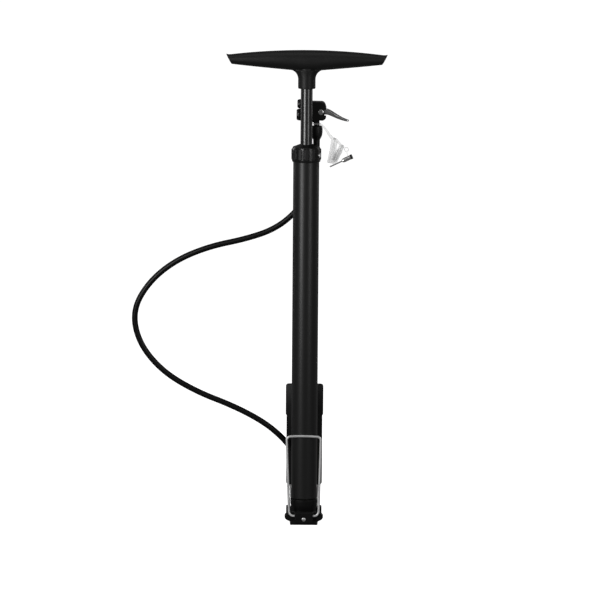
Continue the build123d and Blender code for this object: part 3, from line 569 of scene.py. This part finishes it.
# ---- Rear foot ----
# A longer loop of the same wire, hinged in the base's ears. A ribbed nylon plate snaps over it
# and is trodden on once the foot is folded down behind the pump.

tread_front, tread_back = 29.6, 36.6
leg_y = 34.1
leg_half = 19.2
rear_half = [(-23.6, ear_y, ear_z), (-17.2, ear_y, ear_z), (-leg_half, leg_y, 42.5), (-leg_half, leg_y, 177)]
rear_route = rear_half + [(-x, y, z) for x, y, z in reversed(rear_half)]
rear_wire = bmesh.new()
bar(rear_wire, bent(rear_route, [1.8, 14, 6, 6, 14, 1.8]), 1.5, 24)
fit("rear_foot_wire", rear_wire, drawn_wire, "rear_foot", "bright_wire", "rear_wire")

tread_low, tread_step, tread_high = 46.5, 143.0, 184.0
tread = bmesh.new()
tread_outline = [
    (-24.2, tread_low), (24.2, tread_low), (24.2, tread_step - 1.2), (25.4, tread_step), (25.4, tread_high),
    (-25.4, tread_high), (-25.4, tread_step), (-24.2, tread_step - 1.2),
]
rounded = []
for corner in tread_outline:
    at_end = corner[1] in (tread_low, tread_high)
    rounded.append((corner, 4.0 if at_end else 0.4))
shaped = []
for index, (corner, reach) in enumerate(rounded):
    here = Vector(corner)
    before = (Vector(tread_outline[index - 1]) - here).normalized() * reach
    after = (Vector(tread_outline[(index + 1) % len(tread_outline)]) - here).normalized() * reach
    for step in range(7):
        share = step / 6
        shaped.append((here + before).lerp(here, share).lerp(here.lerp(here + after, share), share))
block(tread, shaped, tread_front, tread_back, ease=0.5, steps=3)
hollow = bmesh.new()
block(hollow, oblong(-16.2, tread_low + 2.2, 16.2, tread_high - 12, 2.0), tread_front + 3, 40, ease=0)
tread = carved(tread, hollow)
groove = bmesh.new()
slot_y = leg_y - 1.53
for side in (-1, 1):
    low, high = sorted((side * (leg_half - 1.53), side * (leg_half + 1.53)))
    block(groove, [(low, 40), (high, 40), (high, 174), (low, 174)], slot_y, 40, ease=0)
block(groove, [(-16, 175.45), (16, 175.45), (16, 178.55), (-16, 178.55)], slot_y, 40, ease=0)
tread = carved(tread, fused(groove, 0.3, 1))
for index in range(9):
    z = tread_low + 12 + index * (tread_high - tread_low - 24) / 8
    block(tread, oblong(-15.5, z - 2, 15.5, z + 2, 0.8), tread_front - 0.8, tread_front + 0.4, ease=0.35)
    if index % 2:
        cross_rib = oblong(-16.5, z - 0.9, 16.5, z + 0.9, 0.3)
        block(tread, cross_rib, tread_front + 2.6, tread_back - 0.4, ease=0.2)
fit("tread_plate", tread, moulded, "rear_foot", "black_nylon", "rear_tread")

# ---- Barrel ----
# Thin-walled steel tube, powder coated satin black, pushed over the base's spigot.

barrel_top = 506.3
paint = Finish("satin_powder_coat", {"IOR": 1.5})
paint_cloud = paint.grain(14.0, (1, 1, 0.25))
paint_peel = paint.grain(1300.0, detail=1.0)
paint.drive("Base Color", paint.mixed(paint_cloud, grey(0.007), grey(0.011)))
paint.drive("Roughness", 0.33 + 0.08 * paint_cloud)
paint.relief(paint_peel, 0.00008, 0.35)

barrel = bmesh.new()
turn(
    barrel,
    eased(
        [
            (bore_r, barrel_foot), (barrel_r - 0.7, barrel_foot), (barrel_r, barrel_foot + 1.4),
            (barrel_r, barrel_top), (bore_r, barrel_top),
        ],
        0.4,
    ),
    steps=160,
)
fit("barrel_tube", barrel, paint, "pump_body", "barrel_paint", "barrel")

# ---- Bush, bumper, piston and seal ----
# Inside the barrel: the nylon bush that guides the rod, a rubber bumper under it, and the piston
# with its rubber cup and brass backing ring. None of it shows with the pump closed.

coat(moulded, "rod_bush", "piston")
coat(rubber, "top_bumper", "piston_seal")
coat(brass, "piston_ring")

# ---- Rod ----
# Steel tube, stove enamelled gloss black. Its lower end is closed by the piston.

gloss = Finish("gloss_black_enamel", {"IOR": 1.52, "Base Color": grey(0.004), "Specular IOR Level": 1.0})
gloss_cloud = gloss.grain(30.0, (1, 1, 0.3))
gloss.drive("Roughness", 0.25 + 0.05 * gloss_cloud)
rod_foot, rod_end = 64.0, 610.0
tube = bmesh.new()
turn(tube, eased([(6.0, rod_foot), (8.0, rod_foot), (8.0, rod_end), (6.0, rod_end)], 0.3), steps=120)
fit("rod_tube", tube, gloss, "plunger", "rod_chrome", "rod")

# ---- Cap ----
# Nylon collar that closes the barrel's top: upright finger ribs round it, a screw each side and
# a snap clip behind that holds the hose.

cap_bottom, cap_top, cap_r = 490.8, 514.3, 19.3
screw_angle, cap_screw_z = 64.0, 500.3
clip_x, clip_y = 13.6, 22.5
clip_reach = sqrt(clip_x**2 + clip_y**2)
clip_angle = degrees(atan2(clip_y, clip_x)) + 90


def outwards(angle, radius, z):
    """Place on the cap's side, angle degrees right of the front: Z points out, X points up."""
    turned_by = radians(angle - 90)
    facing = Matrix.Rotation(turned_by, 4, "Z") @ Matrix.Rotation(pi / 2, 4, "Y")
    spot = Vector((radius * cos(turned_by), radius * sin(turned_by), z))
    return Matrix.Translation(spot) @ facing @ Matrix.Rotation(pi, 4, "Z")


def apart(first, second):
    return abs((first - second + 180) % 360 - 180)


cap_nylon = Finish("cap_nylon", {"IOR": 1.5})
cap_place = cap_nylon.node("ShaderNodeTexCoord", output=3)
cap_flat = cap_nylon.node("ShaderNodeMapping", {}, {"Vector": cap_place, "Scale": (1, 1, 0)})
cap_reach = cap_nylon.node("ShaderNodeVectorMath", {"operation": "LENGTH"}, {0: cap_flat}, 1)
on_rib = cap_nylon.node(
    "ShaderNodeMapRange",
    {},
    {"Value": cap_reach, "From Min": (cap_r + 0.15) * mm, "From Max": (cap_r + 0.4) * mm},
)
cap_cloud = cap_nylon.grain(200.0)
cap_nylon.drive("Base Color", cap_nylon.mixed(cap_cloud, grey(0.004), grey(0.008)))
cap_nylon.drive("Roughness", 0.20 + 0.08 * cap_cloud + 0.28 * on_rib)
cap_nylon.relief(cap_nylon.grain(2600.0, detail=2.0), 0.00006, 0.3)

cap = bmesh.new()
turn(
    cap,
    eased(
        [
            (17.55, cap_bottom), (18.9, cap_bottom), (cap_r, cap_bottom + 2.5), (cap_r, 507.4), (18.2, 510.8),
            (9.2, cap_top), (8.4, cap_top), (8.4, 507.5), (17.55, 507.5),
        ],
        0.5,
    ),
    steps=120,
)
rib_step = 360 / 13
for index in range(13):
    angle = 2.1 + index * rib_step
    if min(apart(angle, other) for other in (screw_angle, screw_angle + 180, clip_angle)) < rib_step / 2:
        continue
    pod = [(cos(tau * step / 16) * 2.5, sin(tau * step / 16) * 2.5) for step in range(16)]
    rib = [(x, z + (5 if z > 0 else -5)) for x, z in pod]
    sideways = Matrix.Rotation(pi / 2, 4, "Z") @ Matrix.Rotation(pi / 2, 4, "X")
    block(cap, rib, -1.1, 0.75, outwards(angle, cap_r, 501.3) @ sideways, ease=0.5, steps=3)
for angle in (screw_angle, screw_angle + 180):
    turn(cap, eased([(0, -2), (3.9, -2), (3.9, 0.2), (0, 0.2)], 0.4), outwards(angle, cap_r, cap_screw_z), 32)
clip_place = Matrix.Rotation(radians(clip_angle - 90), 4, "Z")
clip_ring = Matrix.Translation(clip_place @ Vector((clip_reach, 0, 0)))
gap = radians(28)
clip_outline = [
    (6.0 * cos(gap + (tau - 2 * gap) * step / 28), 6.0 * sin(gap + (tau - 2 * gap) * step / 28))
    for step in range(29)
]
clip_outline += [(x * 4.15 / 6.0, y * 4.15 / 6.0) for x, y in reversed(clip_outline)]
flat = Matrix.Rotation(pi / 2, 4, "X")
block(
    cap, clip_outline, 494.5, 503.5,
    clip_ring @ clip_place @ flat, ease=0.35,
)
block(cap, [(18.3, -2.5), (22.1, -2.5), (22.1, 2.5), (18.3, 2.5)], 494.5, 503.5, clip_place @ flat, ease=0.3)
fit("cap_moulding", fused(cap, 0.32, 2, keep=0.35), cap_nylon, "pump_body", "black_nylon", "cap")

coat(plated, "cap_screws")

# ---- Handle ----
# Hollow nylon T handle, long and gently crowned, with slanted ends. Its stem takes the rod's
# end, which a steel pin holds from behind.

tip_z = 636.0
stem_bottom = 589.4
grip_half = 108.5


def grip_ring(bm, x):
    """Section of the grip at x: its crown, depth and thickness vary along it."""
    share = min(1.0, abs(x) / grip_half)
    side = 1 if x > 0 else -1
    top = tip_z - 1.8 + 7.0 * (1 - share**2) + 1.8 * share**60
    bottom = tip_z - 23.6 + 9.6 * share
    depth = 14.5 - 5.5 * share**1.5
    ring = []
    for step in range(40):
        angle = tau * step / 40
        wide = abs(cos(angle)) ** 0.85 * (1 if cos(angle) > 0 else -1)
        tall = abs(sin(angle)) ** 0.9 * (1 if sin(angle) > 0 else -1)
        z = (top + bottom) / 2 + tall * (top - bottom) / 2
        lean_in = side * 7.5 * share**4 * (tip_z - z) / 14.0
        ring.append(bm.verts.new((x - lean_in, depth * wide, z)))
    return ring


grip = bmesh.new()
stations = [grip_half * sin(pi / 2 * step / 36) for step in range(-36, 37)]
rings = [grip_ring(grip, x) for x in stations]
for low, high in zip(rings, rings[1:]):
    for step in range(40):
        after = (step + 1) % 40
        grip.faces.new((low[step], low[after], high[after], high[step]))
grip.faces.new(rings[0][::-1])
grip.faces.new(rings[-1])
turn(grip, eased([(0, stem_bottom), (11.75, stem_bottom), (11.75, 618), (0, 618)], 0.8), steps=64)
neck_rings = []
for step in range(15):
    rise = 12.5 * sin(pi / 2 * step / 14)
    spread = 0.05 + 12.0 * (1 - sqrt(max(0.0, 1 - (rise / 12.6) ** 2)))
    wide = 11.75 + spread
    deep = 11.8 + 0.02 * rise
    neck_rings.append(
        [
            grip.verts.new((wide * cos(tau * a / 48), deep * sin(tau * a / 48), stem_bottom + 12.8 + rise))
            for a in range(48)
        ]
    )
for low, high in zip(neck_rings, neck_rings[1:]):
    for step in range(48):
        after = (step + 1) % 48
        grip.faces.new((low[step], low[after], high[after], high[step]))
grip.faces.new(neck_rings[0][::-1])
grip.faces.new(neck_rings[-1])
grip = fused(grip, 0.6, 4, keep=0.3)
fit("handle_moulding", grip, moulded, "plunger", "black_nylon", "handle", "handle_pin", sharp=50)

# ---- Hose ----
# Rubber hose, 8 mm over its cover, from the ferrule round its loop and up through the cap's
# clip to the chuck. It is stiff enough to hold its bends.

hose_cover = Finish("hose_rubber", {"IOR": 1.5, "Specular IOR Level": 0.25})
hose_cloud = hose_cover.grain(90.0)
hose_cover.drive("Base Color", hose_cover.mixed(hose_cloud, grey(0.002), grey(0.004)))
hose_cover.drive("Roughness", 0.30 + 0.12 * hose_cloud)
hose_cover.relief(hose_cover.grain(2200.0), 0.00005, 0.4)

hose_route = [
    (0.0, 0.0244, 0.034),
    (0.0, 0.0244, 0.055),
    (-0.0085, 0.0244, 0.085),
    (-0.028, 0.0244, 0.1105),
    (-0.055, 0.024, 0.133),
    (-0.096, 0.027, 0.154),
    (-0.147, 0.030, 0.173),
    (-0.1935, 0.032, 0.2005),
    (-0.225, 0.032, 0.2395),
    (-0.233, 0.031, 0.283),
    (-0.2115, 0.030, 0.322),
    (-0.1755, 0.028, 0.352),
    (-0.130, 0.026, 0.3715),
    (-0.080, 0.024, 0.3825),
    (-0.042, 0.023, 0.396),
    (-0.014, 0.0225, 0.4185),
    (0.006, 0.0225, 0.4475),
    (0.0136, 0.0225, 0.482),
    (0.0136, 0.0225, 0.518),
]
hose_line = bpy.data.curves.new("hose_cover", "CURVE")
hose_line.dimensions = "3D"
spline = hose_line.splines.new("NURBS")
spline.points.add(len(hose_route) - 1)
for point, place in zip(spline.points, hose_route):
    point.co = (*place, 1.0)
spline.order_u = 3
spline.use_endpoint_u = True
spline.resolution_u = 14
hose_line.bevel_depth = 0.004
hose_line.bevel_resolution = 8
hose_line.use_fill_caps = True
hose_line.materials.append(hose_cover.material)
hose = bpy.data.objects.new("hose_cover", hose_line)
bpy.context.scene.collection.objects.link(hose)
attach(hose, "pump_body")
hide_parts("hose")

# ---- Sleeve and stem ----
# A moulded sleeve with a short tail closes the hose on the chuck's stem.

smooth_nylon = Finish("smooth_nylon", {"IOR": 1.5, "Specular IOR Level": 0.4})
smooth_cloud = smooth_nylon.grain(120.0)
smooth_nylon.drive("Base Color", smooth_nylon.mixed(smooth_cloud, grey(0.003), grey(0.006)))
smooth_nylon.drive("Roughness", 0.18 + 0.12 * smooth_cloud)
smooth_nylon.relief(smooth_nylon.grain(1800.0), 0.00003, 0.3)

at_neck = Matrix.Translation((clip_x, clip_y, 0))
sleeve = bmesh.new()
turn(
    sleeve,
    eased(
        [
            (4.15, 506.5), (4.5, 507.2), (4.6, 518), (6.2, 520.5), (7.6, 524), (8.1, 528), (8.15, 533),
            (7.6, 536.2), (6.6, 536.6), (3.0, 536.6), (3.0, 521), (4.15, 519),
        ],
        0.7,
    ),
    at_neck,
)
fit("hose_sleeve_nut", sleeve, moulded, "pump_body", "chuck_nylon", "hose_sleeve")
coat(smooth_nylon, "chuck_stem")
coat(brass, "cam_pusher")

# ---- Chuck ----
# Twin-headed valve chuck: a glossy nylon body forked for the lever, and a fluted gland nut for
# each kind of valve with a rubber grommet behind it.

chuck_left, chuck_right, chuck_low, chuck_high = -4.5, 26.8, 544.6, 570.0
cheek, fork_half = 8.8, 5.5
pivot_x, pivot_z = 19.2, 556.0
lower_z, upper_z = 551.6, 566.2


def from_left(x, z):
    """Place on the chuck with Z along X, at the height of a gland."""
    return along_x(x, clip_y, z)


chuck = bmesh.new()
chuck_side = [
    (5, chuck_low + 1), (7, chuck_low), (18.3, chuck_low), (20.8, chuck_low - 0.6), (23.8, chuck_low + 0.3),
    (26, chuck_low + 3), (chuck_right, chuck_low + 6), (chuck_right, chuck_high - 8.4),
    (25.2, chuck_high - 3.4), (22.6, chuck_high - 0.4), (5, chuck_high),
]
block(chuck, eased(chuck_side, 1.6), clip_y - cheek, clip_y + cheek, ease=2.2, steps=4)
turn(chuck, eased([(0, chuck_left), (7.7, chuck_left), (7.7, 8), (0, 8)], 0.5), from_left(0, lower_z))
turn(chuck, eased([(0, chuck_left), (6.2, chuck_left), (6.2, 8), (0, 8)], 0.5), from_left(0, upper_z))
block(chuck, oblong(chuck_left, lower_z, 8, upper_z), clip_y - 5, clip_y + 5, ease=0.6)
block(chuck, oblong(7.4, 541.4, 17.6, 547, 1.2), clip_y - 4.4, clip_y + 4.4, ease=1.2)
chuck = fused(chuck, 0.4, 4, keep=0.4)
fork = bmesh.new()
block(fork, [(17, 542), (28, 542), (28, 562.2), (17, 562.2)], clip_y - fork_half, clip_y + fork_half, ease=0)
chuck = carved(chuck, fork)
pocket = bmesh.new()
pocket_side = [(10.5, 547), (18, 547), (18, 568.6), (10.5, 568.6)]
block(pocket, pocket_side, clip_y - fork_half, clip_y + fork_half, ease=0)
chuck = carved(chuck, pocket)
notch = bmesh.new()
block(notch, oblong(23.9, 549.6, 30, 561.4, 1.2), clip_y - 10, clip_y + 10, ease=0)
chuck = carved(chuck, notch)
drill = bmesh.new()
turn(drill, [(0, -6), (6.0, -6), (6.0, 6), (0, 6)], from_left(0, lower_z), 48)
turn(drill, [(0, -6), (4.4, -6), (4.4, 6), (0, 6)], from_left(0, upper_z), 48)
across_pin = Matrix.Translation((pivot_x, clip_y, pivot_z)) @ Matrix.Rotation(pi / 2, 4, "X")
turn(drill, [(0, -10), (4.02, -10), (4.02, -7.8), (0, -7.8)], across_pin, 48)
turn(drill, [(0, 7.8), (4.02, 7.8), (4.02, 10), (0, 10)], across_pin, 48)
chuck = carved(chuck, drill)
fit("valve_chuck", chuck, smooth_nylon, "pump_body", "chuck_nylon", "chuck_body", sharp=45)


def gland_nut(name, node, face, reach, hole, thread_r, z):
    """Turned nut with finger flutes round its rim and a threaded shank behind."""
    nut = bmesh.new()
    profile = eased(
        [
            (hole, face), (reach - 2.2, face), (reach - 0.7, face + 0.9), (reach, face + 3),
            (reach, -5.5), (reach - 0.6, chuck_left), (thread_r, chuck_left), (thread_r, -1.2), (hole, -1.2),
        ],
        0.4,
    )
    turn(nut, profile, steps=96)
    for corner in nut.verts:
        radius = corner.co.xy.length
        if radius > reach - 0.25:
            sway = 0.5 + 0.5 * cos(12 * atan2(corner.co.y, corner.co.x))
            corner.co.xy *= 1 - 0.35 * sway**3 / radius
    bmesh.ops.transform(nut, matrix=from_left(0, z), verts=nut.verts)
    fit(name, nut, smooth_nylon, "pump_body", "chuck_nylon", node)


gland_nut("lower_gland_nut", "schrader_nut", -13.5, 8.0, 4.3, 5.98, lower_z)
gland_nut("upper_gland_nut", "presta_nut", -12.5, 6.4, 3.4, 4.38, upper_z)
coat(rubber, "schrader_grommet", "presta_grommet")

# ---- Lever and its rivet ----
# Die-cast lever, polished, with an eccentric round the rivet. It folds up to let the valve go.

cast = Finish("polished_casting", {"Metallic": 1.0})
cast_cloud = cast.grain(220.0)
cast.drive("Base Color", cast.mixed(cast_cloud, grey(0.50), grey(0.66)))
cast.drive("Roughness", 0.14 + 0.14 * cast_cloud)
cast.relief(cast.grain(700.0), 0.00005, 0.25)

lever_line = [
    (0.0, 0.2, 7.2, 5.2), (2.6, 0.2, 8.0, 5.2), (5.1, 0.2, 8.5, 5.2), (8.4, -0.1, 8.1, 5.15),
    (11.6, -1.2, 7.3, 5.0), (16.5, -3.7, 6.3, 4.8), (22.9, -7.1, 5.2, 4.4), (29.4, -10.0, 3.9, 4.0),
    (34.8, -11.7, 3.1, 3.6), (37.2, -12.1, 2.3, 3.0), (38.0, -12.2, 1.2, 2.2),
]
lever = bmesh.new()
lever_rings = []
for place, (x, z, thick, half) in enumerate(lever_line):
    before = lever_line[max(place - 1, 0)]
    after = lever_line[min(place + 1, len(lever_line) - 1)]
    along = Vector((after[0] - before[0], 0, after[1] - before[1])).normalized()
    up = Vector((-along.z, 0, along.x))
    ring = []
    for step in range(32):
        angle = tau * step / 32
        wide = abs(cos(angle)) ** 0.6 * (1 if cos(angle) > 0 else -1)
        tall = abs(sin(angle)) ** 0.75 * (1 if sin(angle) > 0 else -1)
        spot = Vector((x, wide * half, z)) + up * tall * thick / 2
        ring.append(lever.verts.new(spot + Vector((pivot_x, clip_y, pivot_z))))
    lever_rings.append(ring)
for low, high in zip(lever_rings, lever_rings[1:]):
    for step in range(32):
        after = (step + 1) % 32
        lever.faces.new((low[step], low[after], high[after], high[step]))
lever.faces.new(lever_rings[0][::-1])
lever.faces.new(lever_rings[-1])
eccentric = Matrix.Translation((pivot_x - 1.41, clip_y, pivot_z + 0.51)) @ Matrix.Rotation(pi / 2, 4, "X")
turn(lever, eased([(0, -5.2), (2.6, -5.2), (2.6, 5.2), (0, 5.2)], 0.3), eccentric, 48)
lever = fused(lever, 0.28, 3, keep=0.45)
drill = bmesh.new()
turn(drill, [(0, -6), (1.3, -6), (1.3, 6), (0, 6)], across_pin, 32)
fit("release_lever", carved(lever, drill), cast, "chuck_lever", "lever_alloy", "lever", sharp=50)

rivet = bmesh.new()
rivet_half = [(0, 0), (1.25, 0), (1.25, 7.8), (4.0, 7.8), (4.0, 8.9), (3.5, 9.3), (2.4, 9.6), (0, 9.8)]
for side in (0, pi):
    turn(rivet, eased(rivet_half, 0.3), across_pin @ Matrix.Rotation(side, 4, "X"), 48)
fit("lever_rivet", rivet, cast, "pump_body", "bright_steel", "lever_pin")

# ---- Adapters on their strap ----
# Three adapters hang from the chuck's neck on a soft clear strap: a tapered nozzle, a narrow
# valve adapter, and a ball needle on its own clear ring.


def clear_plastic(name, tint, cover):
    """Cloudy soft plastic that lets some of what is behind it through."""
    finish = Finish(name, {"IOR": 1.46, "Coat Weight": 0.3})
    cloud = finish.grain(140.0)
    finish.drive("Base Color", finish.mixed(cloud, grey(tint), grey(min(1.0, tint * 1.06))))
    finish.drive("Roughness", 0.28 + 0.16 * cloud)
    finish.drive("Alpha", cover + 0.12 * cloud)
    finish.relief(finish.grain(700.0), 0.00005, 0.3)
    return finish


milky = clear_plastic("milky_plastic", 0.94, 0.22)
smoky = clear_plastic("smoky_plastic", 0.86, 0.26)


def ribbon(bm, line, half, depth):
    """Flat strip along points in X and Z, as thick as twice each point's half."""
    outline = []
    back = []
    for index, (x, z) in enumerate(line):
        before = Vector(line[max(index - 1, 0)])
        after = Vector(line[min(index + 1, len(line) - 1)])
        along = (after - before).normalized()
        side = Vector((-along.y, along.x)) * half[min(index, len(half) - 1)]
        outline.append((x + side.x, z + side.y))
        back.append((x - side.x, z - side.y))
    block(bm, outline + back[::-1], adapter_y - depth, adapter_y + depth, ease=0.35, steps=3)


def pointing(start, end):
    """Place at start with Z towards end."""
    line = Vector(end) - Vector(start)
    return Matrix.Translation(start) @ line.to_track_quat("Z", "Y").to_matrix().to_4x4()


adapter_y, strap_z = 12.5, 538.6
cone_top, cone_bottom = (37.9, adapter_y, 520.3), (33.2, adapter_y - 5.7, 487.8)
valve_top, valve_bottom = (47.5, adapter_y, 509.8), (37.6, adapter_y + 6.6, 489.6)
link_x, link_z = 54.0, 506.0

strap = bmesh.new()
turn(strap, eased([(4.0, strap_z), (5.5, strap_z), (5.5, strap_z + 2), (4.0, strap_z + 2)], 0.4), at_neck)
block(strap, oblong(16.6, strap_z, 20.0, strap_z + 2), adapter_y - 1.5, clip_y - 5, ease=0.5)
tail = [(17.4, 539.5), (20.6, 538.7), (24.0, 535.6), (27.4, 530.6), (30.6, 525.6), (34.0, 521.6)]
tail += [(38.4, 519.6), (42.6, 516.0), (46.8, 511.4)]
ribbon(strap, tail, [1.0, 1.1, 1.3, 1.6, 1.9, 2.2, 2.2, 2.0, 1.8], 1.5)
ribbon(strap, [(46.4, 511.9), (50.9, 508.2)], [0.8], 1.4)
eye = [(1.9, -0.9), (3.2, -0.9), (3.2, 0.9), (1.9, 0.9)]
turn(strap, eased(eye, 0.3), pointing(cone_top, cone_bottom), 32)
turn(strap, eased([(x, z - 1.2) for x, z in eye], 0.3), pointing(valve_top, valve_bottom), 32)
strap = fused(strap, 0.3, 3, keep=0.5)
holes = bmesh.new()
turn(
    holes,
    [(0, -1.6), (1.87, -1.6), (1.87, 1.0), (4.4, 1.0), (4.4, 9), (0, 9)],
    pointing(cone_top, cone_bottom),
    32,
)
strap = carved(strap, holes)
holes = bmesh.new()
turn(
    holes,
    [(0, -3), (1.87, -3), (1.87, -0.2), (4.6, -0.2), (4.6, 9), (0, 9)],
    pointing(valve_top, valve_bottom),
    32,
)
strap = carved(strap, holes)
fit("adapter_strap_moulding", strap, milky, "adapters", "milky_plastic", "adapter_strap", sharp=50)

cone_length = (Vector(cone_bottom) - Vector(cone_top)).length
nozzle = bmesh.new()
turn(
    nozzle,
    eased(
        [
            (1.0, -1.1), (1.85, -1.1), (1.85, 1.2), (4.3, 1.7),
            (4.9, cone_length - 6), (5.4, cone_length - 5.4), (5.5, cone_length),
            (3.4, cone_length), (3.2, cone_length - 9), (1.0, 4),
        ],
        0.4,
    ),
    pointing(cone_top, cone_bottom),
    48,
)
fit("tapered_nozzle", nozzle, milky, "adapters", "milky_plastic", "cone_nozzle")

valve_length = (Vector(valve_bottom) - Vector(valve_top)).length
narrow = bmesh.new()
turn(
    narrow,
    eased(
        [
            (1.1, -2.2), (1.8, -2.2), (1.8, 0.2), (3.5, 0.5), (3.7, 6), (4.2, 6.6), (4.4, valve_length),
            (2.7, valve_length), (2.6, 5), (1.1, 3),
        ],
        0.35,
    ),
    pointing(valve_top, valve_bottom),
    48,
)
fit("narrow_valve_adapter", narrow, smoky, "adapters", "smoky_plastic", "valve_adapter")

link = bmesh.new()
link_ring = [
    Vector((link_x + 2.7 * cos(tau * step / 40), adapter_y, link_z + 2.7 * sin(tau * step / 40)))
    for step in range(41)
]
bar(link, link_ring, 0.8, 16)
link_tail = [(link_x + 0.3, link_z - 3.0), (55.2, 499.0), (55.6, 496.9)]
bar(link, [Vector((x, adapter_y, z)) for x, z in link_tail], 0.7, 12)
link = fused(link, 0.22, 2, keep=0.6)
fit("needle_loop", link, milky, "adapters", "milky_plastic", "needle_link", sharp=60)
coat(plated, "ball_needle", "needle_head")
coat(rubber, "needle_washer")
